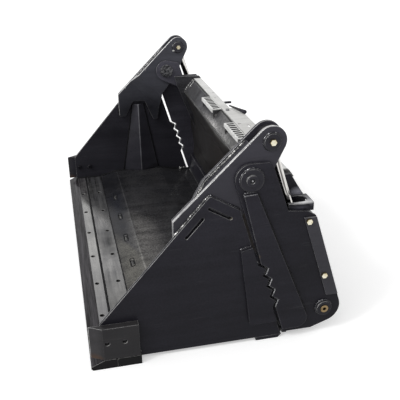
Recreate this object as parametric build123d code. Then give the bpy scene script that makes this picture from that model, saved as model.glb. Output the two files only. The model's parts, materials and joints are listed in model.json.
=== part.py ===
from build123d import *
from math import asin, atan2, cos, degrees, hypot, radians, sin, tan
import os

# Combination bucket for a loader: a clam with a floor and two arms is hung in front of a rear blade.
# Millimetres. X runs across the bucket, the mouth faces -Y, Z is up, and the ground is Z = 0.
# Side outlines are written as (Y, Z) points. Left is +X, and right is its mirror image.

# Plate layers across the width
EDGE_WIDTH = 1676.0
SIDE_SET_IN = 26.0
SIDE_T = 12.0
RUN_GAP = 1.0
ARM_T = 12.0
FORK_GAP = 46.0
REAR_INNER_T = 12.0
TOOTH_PLATE_T = 14.0

# Pin centres (Y, Z) and pin sizes
PIVOT = (109.0, 629.0)
ROD_PIN = (177.0, 748.0)
BASE_PIN = (386.0, 105.0)
PIVOT_PIN_D = 40.0
ROD_PIN_D = 32.0
BASE_PIN_D = 32.0
BASE_SPIGOT_D = 29.0
RUN_FIT = 0.05
PIN_FIT = 0.05
HEAD_R = 54.0
BASE_R = 64.0
ARM_END_R = 50.0

# Cut between the clam and the rear blade, and its teeth
CUT_LEAN = 16.5
CUT_GAP = 10.0
TOOTH_START = 306.0
TOOTH_PITCH = 46.0
TOOTH_DEPTH = 17.0
TOOTH_ROOT = 4.0
TOOTH_COUNT = 4

# Cutting edge and its bolt holes
EDGE_FRONT = -450.0
EDGE_T = 35.0
EDGE_BEVEL = 48.0
EDGE_NOSE_T = 14.0
EDGE_NOSE_CHAMFER = 7.0
EDGE_FRONT_DEPTH = 90.0
EDGE_BASE_DEPTH = 83.0
WELD_GROOVE = 5.0
EDGE_HOLE_D = 19.0
EDGE_HOLE_PITCH = 228.6
EDGE_HOLE_COUNT = 6
EDGE_HOLE_FRONT_SETBACK = 62.0
EDGE_HOLE_ROW_GAP = 85.0

# Floor of the clam
FLOOR_T = 8.0
FLOOR_RIDGE = (-184.0, 58.0)
FLOOR_FALL = (60.0, 56.0)
FLOOR_REAR_BEND_Y = 190.0
HEEL_T = 24.0
HEEL_DEPTH = 98.0
HEEL_BEVEL = 16.0
HEEL_GAP = 4.0
WEAR_T = 8.0
WEAR_LIFT = 14.0
FLOOR_RIB_T = 12.0
FLOOR_RIB_PITCH = 228.6
FLOOR_RIB_COUNT = 5
PLUG_SLOT_LENGTH = 40.0
PLUG_SLOT_WIDTH = 16.0
PLUG_SLOT_Y = -229.0

# Clam side plate
SIDE_FRONT_LEAN = 48.3
SIDE_TOP = (-28.0, 587.0)
SIDE_TOP_DROP = 62.0
SIDE_CORNER_R = 10.0
SIDE_SLOT_W = 11.0
SIDE_SLOT_LENGTH = 92.0
FRONT_SLOT_CENTRE = (-80.0, 479.0)
TOP_SLOT_CENTRE = (5.0, 522.0)
TOP_SLOT_LEAN = -31.0

# Corner blocks and their bolts
BLOCK_HEIGHT = 123.0
BLOCK_LIFT = 2.0
BLOCK_REAR = -281.0
BLOCK_NOSE = -448.0
BLOCK_BEVEL = 45.0
BLOCK_BOLT_D = 16.0
BLOCK_BOLT_HOLE_D = 17.0
BLOCK_BOLT_HEAD_D = 22.0
BLOCK_BOLT_HEAD_H = 11.0
BLOCK_BOLT_RECESS = 8.0
BLOCK_BOLT_FRONT_Y = -389.0
BLOCK_BOLT_PITCH = 58.0
BLOCK_BOLT_Z = 101.0

# Arms of the clam
ARM_LEAN = 44.0
ARM_FRONT_Y = -148.0
ARM_BACK_CORNER = (155.0, 590.0)
ARM_HEEL_CORNER = (84.0, 503.0)
FRONT_LOBE_Z = 380.0
FRONT_LOBE_REAR_Y = -112.0
REAR_LOBE_Z = 352.0
REAR_LOBE_FRONT_Y = 36.0
REAR_LOBE_REAR_Y = 61.0
LOBE_R = 10.0
FOOT_RECESS_FRONT_Y = -73.0
FOOT_RECESS_REAR_Y = -7.0
FOOT_RECESS_Z = 460.0
FOOT_RECESS_R = 18.0
JOGGLE_LOW = 305.0
JOGGLE_RUN = 60.0
SPACER_T = 10.0
SPACER_SET_IN = 8.0
SPACER_TOP = 54.0
PIVOT_TUBE_D = 72.0

# Stiffener folds inside the clam sides
STIFFENER_Y = -42.0
STIFFENER_TOP_Z = 440.0
STIFFENER_T = 6.0
STIFFENER_FOOT_OUT = 26.0
STIFFENER_FOOT_FRONT = 100.0
STIFFENER_FOOT_REAR = 98.0
STIFFENER_TOP_OUT = 19.0
STIFFENER_TOP_HALF = 31.0

# Tooth plate on the clam
CLAM_TOOTH_TOP_Z = 389.0
CLAM_TOOTH_TOP_DROP = 9.0
CLAM_TOOTH_BOTTOM_Z = 80.0
CLAM_TOOTH_TOP_WIDTH = 40.0
CLAM_TOOTH_BOTTOM_WIDTH = 100.0
CLAM_TOOTH_R = 14.0

# Tooth strip on the rear plate
STRIP_TOP_Z = 581.0
STRIP_TOP_SET_BACK = 14.0
STRIP_BOTTOM_Z = 42.0
STRIP_TOP_WIDTH = 45.0
STRIP_BOTTOM_WIDTH = 108.0
STRIP_R = 38.0
STRIP_TOP_RISE = 3.0

# Rear side plates
REAR_LEAN = 17.4
REAR_BOTTOM_Z = 22.0
REAR_BOTTOM_BEND_Y = 343.0
REAR_TOP_Z = 477.0
REAR_NOTCH = (238.0, 504.0)
REAR_NOTCH_REAR = (306.0, 496.0)
REAR_HEAD_REAR_Y = 176.0
REAR_HEAD_CORNER_R = 22.0
INNER_HEAD_REAR = (176.0, 668.0)
INNER_TOP_Z = 600.0
INNER_TOP_FRONT_Y = 196.0
INNER_TOP_REAR_Y = 272.0
INNER_TOP_R = 8.0
INNER_SHOULDER = (299.0, 555.0)
INNER_REAR_TOP_Z = 515.0

# Rear blade
MOLDBOARD_T = 8.0
MOLDBOARD_LINE = ((258.0, 30.0), (268.0, 180.0), (243.0, 390.0), (195.0, 522.0))
REAR_EDGE_T = 18.0
REAR_EDGE_HEIGHT = 110.0
REAR_EDGE_DROP = 22.0
BEAM_T = 10.0
BEAM_TOP = (248.0, 588.0)
CHEEK_T = 10.0
CHEEK_SET_IN = 27.0
CHEEK_TOP_FRONT = (145.0, 604.0)
CHEEK_TOP_REAR = (279.0, 600.0)
CHEEK_TOP_R = 8.0
CHEEK_BROW = (298.0, 573.0)
CHEEK_FRONT_BEND = (157.0, 558.0)
CHEEK_LOW_Z = 310.0
CHEEK_REAR_LOW_Z = 430.0
CHEEK_HOLE = (276.0, 566.0)
CHEEK_HOLE_D = 10.0
BOTTOM_CLOSER_T = 8.0

# Quick-attach face at the back
QA_T = 10.0
QA_BOTTOM_Z = 150.0
QA_LIP_T = 8.0
QA_LIP_DEPTH = 39.0
QA_LIP_TURN = 12.0
QA_LEDGE_T = 12.0
QA_LEDGE_DEPTH = 50.0
QA_SLOT_WIDTH = 64.0
QA_SLOT_DEPTH = 30.0
QA_SLOT_PITCH = 1060.0
QA_RIB_T = 10.0
QA_RIB_PITCH = 240.0
QA_RIB_COUNT = 5

# Side boxes round the cylinders
BOX_BACK_T = 8.0
BOX_BACK_LOW_Z = 150.0
BOX_BACK_HIGH_Z = 470.0
FLANGE_TOP_Z = 522.0
FLANGE_T = 8.0
FLANGE_FRONT_Y = 242.0
FLANGE_REAR_Y = 331.0
FLANGE_LIP_H = 30.0
FLANGE_SLOT_W = 46.0
FLANGE_SLOT_END_Y = 318.0
COVER_T = 6.0
COVER_WIDTH = 42.0
COVER_LOW_Z = 157.0
COVER_HIGH_Z = 474.0
COVER_BOLT_D = 12.0
COVER_BOLT_HEAD_D = 22.0
COVER_BOLT_HEAD_H = 8.0
COVER_BOLT_Z = (242.0, 460.0)
COVER_BOLT_SET_IN = 30.0

# Pin heads, bosses and keepers
PIVOT_DISC_D = 76.0
PIVOT_DISC_T = 6.0
PIVOT_CAP_D = 38.0
PIVOT_CAP_H = 7.0
PIVOT_SOCKET_D = 18.0
PIVOT_SOCKET_DEPTH = 6.0
PIVOT_KEEPER_D = 66.0
PIVOT_KEEPER_T = 8.0
ROD_BOSS_D = 54.0
ROD_BOSS_T = 8.0
ROD_BOLT_D = 14.0
ROD_BOLT_HEAD_D = 22.0
ROD_BOLT_HEAD_H = 9.0
ROD_BOLT_LENGTH = 24.0
EYE_WASHER_D = 72.0
EYE_WASHER_T = 2.4
BASE_BOSS_D = 56.0
BASE_BOSS_T = 13.0
BASE_PIN_PROUD = 3.0
BASE_PIN_HOLE_D = 12.0
BASE_PIN_HOLE_DEPTH = 24.0
BASE_KEEPER_D = 50.0
BASE_KEEPER_T = 8.0

# Hydraulic cylinders
BARREL_D = 60.0
BARREL_BORE = 46.0
BARREL_FLOOR = 44.0
BARREL_LENGTH = 370.0
BASE_EYE_WIDTH = 40.0
BASE_BUSH_WALL = 4.0
GLAND_FLANGE_T = 14.0
GLAND_SPIGOT = 34.0
ROD_D = 30.0
ROD_SPIGOT_D = 20.0
PISTON_LENGTH = 38.0
PISTON_START = 168.0
EYE_D = 80.0
EYE_WIDTH = 40.0
EYE_SLACK = 9.5
PORT_D = 24.0
PORT_H = 6.0
PORT_LOW = 78.0
PORT_HIGH = 300.0

# Step treads on the beam
TREAD_T = 4.0
TREAD_LENGTH = 206.0
TREAD_CENTRE_X = 206.0
TREAD_FRONT_Y = 205.0
TREAD_LIP_H = 16.0
TREAD_SLOT_COUNT = 8
TREAD_SLOT_W = 13.0
TREAD_SLOT_EDGE = 5.0
TREAD_SUPPORT_T = 5.0

# Hydraulic lines at the top
BRACKET_T = 4.0
BRACKET_X_LOW = -90.0
BRACKET_X_HIGH = 330.0
BRACKET_DEPTH = 77.0
BRACKET_R = 26.0
BRACKET_BOLT_X = -56.0
BRACKET_BOLT_SET_BACK = 16.0
BRACKET_BOLT_D = 10.0
BRACKET_BOLT_HEAD_D = 17.0
BRACKET_BOLT_HEAD_H = 7.0
BRACKET_HOLE_D = 12.0
BRACKET_HOLE_X = 140.0
BRACKET_SLOT_X = 174.0
BRACKET_SLOT_L = 26.0
BRACKET_SLOT_SET_BACK = 46.0
COUPLER_D = 18.0
COUPLER_LENGTH = 52.0
COUPLER_END_R = 6.0
COUPLER_TURN = 18.9
COUPLER_END = (20.0, 326.0)
STUB_D = 12.0
STUB_TIP_D = 7.0
STUB_LENGTH = 74.0
PEG_D = 11.0
PEG_X = -222.0
PEG_END_Y = 327.0

# Positions that follow from the sizes above
HALF_WIDTH = EDGE_WIDTH / 2
SIDE_OUT = HALF_WIDTH - SIDE_SET_IN
SIDE_IN = SIDE_OUT - SIDE_T
ARM_OUTER_IN = SIDE_IN - ARM_T
ARM_INNER_OUT = ARM_OUTER_IN - FORK_GAP
ARM_INNER_IN = ARM_INNER_OUT - ARM_T
REAR_OUTER_IN = SIDE_IN + RUN_GAP
REAR_INNER_OUT = ARM_INNER_IN - RUN_GAP
REAR_INNER_IN = REAR_INNER_OUT - REAR_INNER_T
CHEEK_OUT = REAR_INNER_IN - CHEEK_SET_IN
CHEEK_IN = CHEEK_OUT - CHEEK_T
CYLINDER_X = (ARM_INNER_OUT + ARM_OUTER_IN) / 2
EDGE_JOINT = EDGE_FRONT + EDGE_FRONT_DEPTH
EDGE_REAR = EDGE_JOINT + EDGE_BASE_DEPTH
CYLINDER_LENGTH = hypot(ROD_PIN[0] - BASE_PIN[0], ROD_PIN[1] - BASE_PIN[1])
CYLINDER_LEAN = degrees(atan2(BASE_PIN[0] - ROD_PIN[0], ROD_PIN[1] - BASE_PIN[1]))
FLOOR_REAR_Z = HEEL_T + FLOOR_T
LIP_TOP_Z = BEAM_TOP[1]


def moved(point, angle, distance):
    """Point moved a distance in the side view; the angle is in degrees from +Y towards +Z."""
    return (point[0] + distance * cos(radians(angle)), point[1] + distance * sin(radians(angle)))


def between(start, end, height):
    """Point at a height on the line through two side-view points."""
    share = (height - start[1]) / (end[1] - start[1])
    return (start[0] + share * (end[0] - start[0]), height)


def tangent_point(centre, radius, outside, turn):
    """Point where a line from an outside point touches a circle, on the side that turn (+1 or -1) picks."""
    reach = hypot(outside[0] - centre[0], outside[1] - centre[1])
    facing = degrees(atan2(outside[1] - centre[1], outside[0] - centre[0]))
    return moved(centre, facing + turn * (90 - degrees(asin(radius / reach))), radius)


def offset_path(path, distance):
    """Side-view path moved to its left by a distance, with mitred corners."""
    normals = []
    for start, end in zip(path, path[1:]):
        length = hypot(end[0] - start[0], end[1] - start[1])
        normals.append(((start[1] - end[1]) / length, (end[0] - start[0]) / length))
    before = normals[:1] + normals
    after = normals + normals[-1:]
    result = []
    for point, a, b in zip(path, before, after):
        stretch = distance / (1 + a[0] * b[0] + a[1] * b[1])
        result.append((point[0] + stretch * (a[0] + b[0]), point[1] + stretch * (a[1] + b[1])))
    return result


def band(path, thickness):
    """Outline of a bent plate whose face follows the path, with its thickness to the path's left."""
    return list(path) + offset_path(path, thickness)[::-1]


def shape(points):
    """Filled side-view outline."""
    return Polygon(*points, align=None)


def disc(centre, diameter):
    """Filled side-view circle."""
    return Pos(centre[0], centre[1]) * Circle(diameter / 2)


def rounded(sketch, corner, radius):
    """Side-view outline with the corner nearest to a point rounded."""
    vertex = sketch.vertices().sort_by_distance((corner[0], corner[1], 0))[0]
    return fillet(vertex, radius)


def layer(sketch, x_low, x_high):
    """Flat plate with a side-view outline between two places across the width."""
    return Pos(x_low, 0, 0) * extrude(Plane.YZ * sketch, x_high - x_low, dir=(1, 0, 0))


def raised(sketch, z_low, z_high):
    """Upright piece with a plan outline, written as (X, Y) points, between two heights."""
    return Pos(0, 0, z_low) * extrude(sketch, z_high - z_low, dir=(0, 0, 1))


def rectangle(x_low, x_high, y_low, y_high):
    """Filled rectangle, in plan or in the side view."""
    return shape([(x_low, y_low), (x_high, y_low), (x_high, y_high), (x_low, y_high)])


def full_width(points, half_width):
    """Straight piece with a side-view section, as wide on the left as on the right."""
    return layer(shape(points), -half_width, half_width)


def round_bar(centre, diameter, x_low, x_high):
    """Round bar along X about a side-view centre."""
    return layer(disc(centre, diameter), x_low, x_high)


def pitched(pitch, count):
    """Evenly spaced places about the middle."""
    return [pitch * (index - (count - 1) / 2) for index in range(count)]


def both_sides(solid):
    """A left piece and its mirror image."""
    return [solid, mirror(solid, about=Plane.YZ)]


def save(name, *solids):
    """Write one node; several solids become a group of separate pieces."""
    body = solids[0] if len(solids) == 1 else Compound(children=list(solids))
    export_step(body, f"parts/{name}.step")


def save_pair(name, solid):
    """Write a left node and its mirrored right node."""
    left, right = both_sides(solid)
    save(f"left_{name}", left)
    save(f"right_{name}", right)


def cut_point(down, rearward):
    """Point beside the cut: distance down it from the pivot, and distance behind its middle line."""
    on_line = moved(PIVOT, CUT_LEAN - 90, down)
    return moved(on_line, CUT_LEAN, rearward - HEAD_R - CUT_GAP / 2)


def cut_down(height, rearward):
    """Distance down the cut at which a line beside it reaches a height."""
    top = cut_point(0, rearward)
    return (top[1] - height) / cos(radians(CUT_LEAN))


def cut_edge(rearward, start_down, bottom_z):
    """Toothed edge beside the cut, from a distance below the pivot to a height."""
    points = [cut_point(start_down, rearward), cut_point(TOOTH_START, rearward)]
    for index in range(TOOTH_COUNT):
        tip = TOOTH_START + TOOTH_PITCH * (index + 0.5)
        root = TOOTH_START + TOOTH_PITCH * (index + 1)
        points.append(cut_point(tip, rearward + TOOTH_ROOT + TOOTH_DEPTH))
        points.append(cut_point(root, rearward + TOOTH_ROOT))
    low = rearward + TOOTH_ROOT
    points.append(cut_point(cut_down(bottom_z, low), low))
    return points


CLAM_CUT = -CUT_GAP / 2
REAR_CUT = CUT_GAP / 2


def edge_holes(y):
    """Drills for one row of bolt holes in the cutting edge."""
    return [Pos(x, y, EDGE_T / 2) * Cylinder(EDGE_HOLE_D / 2, 2 * EDGE_T)
            for x in pitched(EDGE_HOLE_PITCH, EDGE_HOLE_COUNT)]


def front_edge():
    """Bevelled front plate of the cutting edge."""
    section = [
        (EDGE_FRONT, EDGE_NOSE_CHAMFER),
        (EDGE_FRONT, EDGE_NOSE_T),
        (EDGE_FRONT + EDGE_BEVEL, EDGE_T),
        (EDGE_JOINT - WELD_GROOVE, EDGE_T),
        (EDGE_JOINT, EDGE_T - WELD_GROOVE),
        (EDGE_JOINT, 0),
        (EDGE_FRONT + EDGE_NOSE_CHAMFER, 0),
    ]
    return full_width(section, HALF_WIDTH) - edge_holes(EDGE_FRONT + EDGE_HOLE_FRONT_SETBACK)


def base_edge():
    """Plate behind the front edge, with the second row of holes."""
    section = [
        (EDGE_JOINT, 0),
        (EDGE_JOINT, EDGE_T - WELD_GROOVE),
        (EDGE_JOINT + WELD_GROOVE, EDGE_T),
        (EDGE_REAR, EDGE_T),
        (EDGE_REAR, 0),
    ]
    row = EDGE_FRONT + EDGE_HOLE_FRONT_SETBACK + EDGE_HOLE_ROW_GAP
    return full_width(section, HALF_WIDTH) - edge_holes(row)


MOLDBOARD_LOW, MOLDBOARD_BEND = MOLDBOARD_LINE[:2]
REAR_EDGE_LEAN = degrees(atan2(MOLDBOARD_BEND[1] - MOLDBOARD_LOW[1], MOLDBOARD_BEND[0] - MOLDBOARD_LOW[0]))
REAR_EDGE_FOOT = moved(MOLDBOARD_LOW, REAR_EDGE_LEAN, -REAR_EDGE_DROP)
REAR_EDGE_HEAD = moved(REAR_EDGE_FOOT, REAR_EDGE_LEAN, REAR_EDGE_HEIGHT)
REAR_EDGE_SECTION = band([REAR_EDGE_FOOT, REAR_EDGE_HEAD], REAR_EDGE_T)
HEEL_REAR_Y = min(y for y, z in REAR_EDGE_SECTION) - HEEL_GAP
HEEL_FRONT_Y = HEEL_REAR_Y - HEEL_DEPTH
FLOOR_LINE = [
    (EDGE_REAR, EDGE_T),
    FLOOR_RIDGE,
    FLOOR_FALL,
    (FLOOR_REAR_BEND_Y, FLOOR_REAR_Z),
    (HEEL_REAR_Y, FLOOR_REAR_Z),
]
FLOOR_UNDERSIDE = [(y, z - FLOOR_T) for y, z in FLOOR_LINE]


def clam_floor():
    """Bent floor plate with plug-weld slots over its ribs."""
    floor = full_width(FLOOR_LINE + FLOOR_UNDERSIDE[::-1], SIDE_IN)
    slot = raised(SlotOverall(PLUG_SLOT_LENGTH, PLUG_SLOT_WIDTH), 0, FLOOR_RIDGE[1] + FLOOR_T)
    return floor - [Pos(x, PLUG_SLOT_Y, 0) * slot for x in pitched(FLOOR_RIB_PITCH, FLOOR_RIB_COUNT)]


def floor_ribs():
    """Ribs between the floor and the wear plate."""
    base = WEAR_LIFT + WEAR_T
    end = between(FLOOR_UNDERSIDE[2][::-1], FLOOR_UNDERSIDE[3][::-1], HEEL_FRONT_Y)[::-1]
    outline = [(EDGE_REAR, base)] + FLOOR_UNDERSIDE[:3] + [end, (HEEL_FRONT_Y, base)]
    half = FLOOR_RIB_T / 2
    return [layer(shape(outline), x - half, x + half) for x in pitched(FLOOR_RIB_PITCH, FLOOR_RIB_COUNT)]


def wear_plate():
    """Flat plate under the ribs."""
    top = WEAR_LIFT + WEAR_T
    return full_width([(EDGE_REAR, WEAR_LIFT), (HEEL_FRONT_Y, WEAR_LIFT), (HEEL_FRONT_Y, top),
                       (EDGE_REAR, top)], SIDE_IN)


def heel_bar():
    """Thick bar at the rear end of the floor, bevelled below, that runs out under the side plates."""
    section = shape([
        (HEEL_FRONT_Y, 0),
        (HEEL_REAR_Y - HEEL_BEVEL, 0),
        (HEEL_REAR_Y, HEEL_BEVEL),
        (HEEL_REAR_Y, HEEL_T),
        (HEEL_FRONT_Y, HEEL_T),
    ])
    under_sides = section & rectangle(HEEL_FRONT_Y, HEEL_REAR_Y, 0, WEAR_LIFT)
    return layer(section, -SIDE_IN, SIDE_IN) + layer(under_sides, -SIDE_OUT, SIDE_OUT)


BLOCK_LOW_Z = EDGE_T + BLOCK_LIFT
BLOCK_HIGH_Z = BLOCK_LOW_Z + BLOCK_HEIGHT
SIDE_FRONT_Y = SIDE_TOP[0] - (SIDE_TOP[1] - BLOCK_HIGH_Z) / tan(radians(SIDE_FRONT_LEAN))
BLOCK_BOLTS = [(BLOCK_BOLT_FRONT_Y + index * BLOCK_BOLT_PITCH, BLOCK_BOLT_Z) for index in range(2)]


def side_slot(centre, angle):
    """Plug-weld slot in a side plate."""
    return Pos(*centre) * Rot(0, 0, angle) * SlotOverall(SIDE_SLOT_LENGTH, SIDE_SLOT_W)


def clam_side_plate():
    """Side of the clam: sloping front, toothed rear edge."""
    start = cut_down(SIDE_TOP[1] - SIDE_TOP_DROP, CLAM_CUT)
    outline = [(SIDE_FRONT_Y, EDGE_T), (SIDE_FRONT_Y, BLOCK_HIGH_Z), SIDE_TOP]
    outline += cut_edge(CLAM_CUT, start, WEAR_LIFT)
    outline += [(EDGE_REAR, WEAR_LIFT), (EDGE_REAR, EDGE_T)]
    sketch = rounded(shape(outline), SIDE_TOP, SIDE_CORNER_R)
    sketch -= side_slot(FRONT_SLOT_CENTRE, SIDE_FRONT_LEAN)
    sketch -= side_slot(TOP_SLOT_CENTRE, TOP_SLOT_LEAN)
    for bolt in BLOCK_BOLTS:
        sketch -= disc(bolt, BLOCK_BOLT_HOLE_D)
    return layer(sketch, SIDE_IN, SIDE_OUT)


def corner_block():
    """Bolt-on block outside the side plate, bevelled at its nose."""
    plan = [
        (SIDE_OUT, BLOCK_NOSE),
        (HALF_WIDTH, BLOCK_NOSE + BLOCK_BEVEL),
        (HALF_WIDTH, BLOCK_REAR),
        (SIDE_OUT, BLOCK_REAR),
    ]
    block = raised(shape(plan), BLOCK_LOW_Z, BLOCK_HIGH_Z)
    return block - [round_bar(bolt, BLOCK_BOLT_HOLE_D, SIDE_OUT, HALF_WIDTH) for bolt in BLOCK_BOLTS]


def block_bolt(place):
    """Bolt through the side plate into a corner block, with its head inside the clam."""
    head = Pos(*place) * RegularPolygon(BLOCK_BOLT_HEAD_D / 2, 6)
    shank = round_bar(place, BLOCK_BOLT_D, SIDE_IN, HALF_WIDTH - BLOCK_BOLT_RECESS)
    return layer(head, SIDE_IN - BLOCK_BOLT_HEAD_H, SIDE_IN) + shank


ARM_FRONT_TOP = moved(ROD_PIN, ARM_LEAN + 90, ARM_END_R)
ARM_FRONT_LOW = (ARM_FRONT_Y, ARM_FRONT_TOP[1] - (ARM_FRONT_TOP[0] - ARM_FRONT_Y) * tan(radians(ARM_LEAN)))


def arm_outline():
    """Arm from its lobed foot up past the pivot to the round end at the rod pin."""
    lobes = [(ARM_FRONT_Y, FRONT_LOBE_Z), (FRONT_LOBE_REAR_Y, FRONT_LOBE_Z),
             (REAR_LOBE_FRONT_Y, REAR_LOBE_Z), (REAR_LOBE_REAR_Y, REAR_LOBE_Z)]
    sketch = shape([
        ARM_FRONT_TOP,
        ARM_FRONT_LOW,
        *lobes[:2],
        (FOOT_RECESS_FRONT_Y, FOOT_RECESS_Z),
        (FOOT_RECESS_REAR_Y, FOOT_RECESS_Z),
        *lobes[2:],
        ARM_HEEL_CORNER,
        ARM_BACK_CORNER,
        tangent_point(ROD_PIN, ARM_END_R, ARM_BACK_CORNER, 1),
        ROD_PIN,
    ])
    for lobe in lobes:
        sketch = rounded(sketch, lobe, LOBE_R)
    for y in (FOOT_RECESS_FRONT_Y, FOOT_RECESS_REAR_Y):
        sketch = rounded(sketch, (y, FOOT_RECESS_Z), FOOT_RECESS_R)
    sketch += disc(ROD_PIN, 2 * ARM_END_R)
    sketch -= disc(PIVOT, PIVOT_PIN_D + 2 * RUN_FIT)
    sketch -= disc(ROD_PIN, ROD_PIN_D + 2 * PIN_FIT)
    return sketch


def arm_plane():
    """Plane through the rod pin whose x axis runs up the arm and whose y axis runs across the bucket."""
    up_arm = (0, cos(radians(ARM_LEAN)), sin(radians(ARM_LEAN)))
    square = (0, sin(radians(ARM_LEAN)), -cos(radians(ARM_LEAN)))
    return Plane(origin=(0, ROD_PIN[0], ROD_PIN[1]), x_dir=up_arm, z_dir=square)


def arm_outer_plate():
    """Outer arm plate, flat against the inside of the clam side."""
    return layer(arm_outline(), ARM_OUTER_IN, SIDE_IN)


def arm_inner_plate():
    """Inner arm plate: a foot on the outer plate, then a joggle inwards to make the fork."""
    far = 2 * CYLINDER_LENGTH
    sign = arm_plane().y_dir.X
    outer_face = [(-far, ARM_OUTER_IN), (-JOGGLE_LOW, ARM_OUTER_IN),
                  (JOGGLE_RUN - JOGGLE_LOW, ARM_INNER_OUT), (far, ARM_INNER_OUT)]
    bent = shape([(a, sign * x) for a, x in band(outer_face, -ARM_T)])
    sheet = extrude(arm_plane() * bent, far, both=True)
    return sheet & layer(arm_outline(), 0, SIDE_IN)


def arm_spacer():
    """Closing strip between the two arm plates along their front edge."""
    sign = arm_plane().y_dir.X
    plan = shape([
        (-SPACER_TOP, sign * ARM_INNER_OUT),
        (-SPACER_TOP, sign * ARM_OUTER_IN),
        (-JOGGLE_LOW, sign * ARM_OUTER_IN),
        (JOGGLE_RUN - JOGGLE_LOW, sign * ARM_INNER_OUT),
    ])
    front = arm_plane().offset(SPACER_SET_IN - ARM_END_R)
    return extrude(front * plan, SPACER_T, dir=front.z_dir)


def arm_pivot_tube():
    """Tube welded between the arm plates round the pivot pin."""
    ring = disc(PIVOT, PIVOT_TUBE_D) - disc(PIVOT, PIVOT_PIN_D + 2 * RUN_FIT)
    return layer(ring, ARM_INNER_OUT, ARM_OUTER_IN)


def chevron(half_front, half_rear, out, thickness):
    """Folded-plate section on the clam side: x inwards from the side plate, y along the bucket."""
    return [
        (0, -half_front),
        (out, 0),
        (0, half_rear),
        (0, half_rear - thickness * hypot(out, half_rear) / out),
        (out - thickness * hypot(out, half_rear) / half_rear, 0),
        (0, thickness * hypot(out, half_front) / out - half_front),
    ]


def side_stiffener():
    """Folded stiffener that runs up the inside of the clam side, wide at its foot."""
    foot = chevron(STIFFENER_FOOT_FRONT, STIFFENER_FOOT_REAR, STIFFENER_FOOT_OUT, STIFFENER_T)
    top = chevron(STIFFENER_TOP_HALF, STIFFENER_TOP_HALF, STIFFENER_TOP_OUT, STIFFENER_T)
    foot_z = max(FLOOR_RIDGE[1], FLOOR_FALL[1])
    sections = []
    for points, z in ((foot, foot_z), (top, STIFFENER_TOP_Z)):
        placed = [(SIDE_IN - out, STIFFENER_Y + along) for out, along in points]
        sections.append(Pos(0, 0, z) * shape(placed))
    return loft(sections, ruled=True)


def clam_tooth_plate():
    """Toothed wear plate outside the clam side, along the cut."""
    edge = cut_edge(CLAM_CUT, cut_down(CLAM_TOOTH_TOP_Z, CLAM_CUT), CLAM_TOOTH_BOTTOM_Z)
    top_front = (edge[0][0] - CLAM_TOOTH_TOP_WIDTH, edge[0][1] - CLAM_TOOTH_TOP_DROP)
    low_front = (edge[-1][0] - CLAM_TOOTH_BOTTOM_WIDTH, edge[-1][1])
    sketch = rounded(shape(edge + [low_front, top_front]), low_front, CLAM_TOOTH_R)
    return layer(sketch, SIDE_OUT, SIDE_OUT + TOOTH_PLATE_T)


def rod_pin():
    """Pin through the arm fork, with a welded boss outside and a keeper disc inside."""
    pin = round_bar(ROD_PIN, ROD_PIN_D, ARM_INNER_IN, SIDE_IN)
    pin += round_bar(ROD_PIN, ROD_BOSS_D, SIDE_IN, SIDE_IN + ROD_BOSS_T)
    pin += round_bar(ROD_PIN, ROD_BOSS_D, ARM_INNER_IN - ROD_BOSS_T, ARM_INNER_IN)
    return pin - [rod_bolt_shank(place, 2 * PIN_FIT) for place in rod_bolt_faces()]


def rod_bolt_faces():
    """Outer and inner end faces of the rod pin, with the way each bolt head points."""
    return [(SIDE_IN + ROD_BOSS_T, 1), (ARM_INNER_IN - ROD_BOSS_T, -1)]


def rod_bolt_shank(face, extra):
    """Shank of a rod-pin bolt, or its hole where extra is added to its diameter and length."""
    x, way = face
    ends = sorted((x, x - way * (ROD_BOLT_LENGTH + extra)))
    return round_bar(ROD_PIN, ROD_BOLT_D + extra, *ends)


def rod_bolt(face):
    """Hexagon bolt in one end of the rod pin."""
    x, way = face
    head = Pos(*ROD_PIN) * RegularPolygon(ROD_BOLT_HEAD_D / 2, 6)
    return layer(head, *sorted((x, x + way * ROD_BOLT_HEAD_H))) + rod_bolt_shank(face, 0)


def eye_washers():
    """Washers on the rod pin, one on each side of the rod eye."""
    ring = disc(ROD_PIN, EYE_WASHER_D) - disc(ROD_PIN, ROD_PIN_D + 2 * PIN_FIT)
    return [layer(ring, ARM_INNER_OUT, ARM_INNER_OUT + EYE_WASHER_T),
            layer(ring, ARM_OUTER_IN - EYE_WASHER_T, ARM_OUTER_IN)]


MOLDBOARD_BACK = offset_path(MOLDBOARD_LINE, -MOLDBOARD_T)
REAR_TANGENT = moved(BASE_PIN, REAR_LEAN, BASE_R)


def rear_line(height, inset):
    """Point on a line parallel to the rear edge, inset from it, at a height."""
    start = moved(BASE_PIN, REAR_LEAN, BASE_R - inset)
    return (start[0] - (height - start[1]) * tan(radians(REAR_LEAN)), height)


def rear_foot():
    """Bottom of the rear side plates, from the bend in the bottom edge round the base pin."""
    bend = (REAR_BOTTOM_BEND_Y, REAR_BOTTOM_Z)
    return [bend, tangent_point(BASE_PIN, BASE_R, bend, 1), REAR_TANGENT]


def rear_outer_plate():
    """Outer side of the rear blade: round head at the pivot, toothed front edge, round foot."""
    head_top = PIVOT[1] + HEAD_R
    outline = cut_edge(REAR_CUT, 0, REAR_BOTTOM_Z) + rear_foot()
    outline += [rear_line(REAR_TOP_Z, 0), REAR_NOTCH_REAR, REAR_NOTCH]
    outline += [(REAR_HEAD_REAR_Y, head_top), (PIVOT[0], head_top)]
    sketch = rounded(shape(outline), (REAR_HEAD_REAR_Y, head_top), REAR_HEAD_CORNER_R)
    sketch += disc(PIVOT, 2 * HEAD_R)
    sketch += disc(BASE_PIN, 2 * BASE_R)
    sketch -= disc(PIVOT, PIVOT_PIN_D + 2 * PIN_FIT)
    sketch -= disc(BASE_PIN, BASE_SPIGOT_D + 2 * PIN_FIT)
    for bolt in cover_bolt_places():
        sketch -= disc(bolt, COVER_BOLT_D + 2 * PIN_FIT)
    return layer(sketch, REAR_OUTER_IN, SIDE_OUT)


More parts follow.
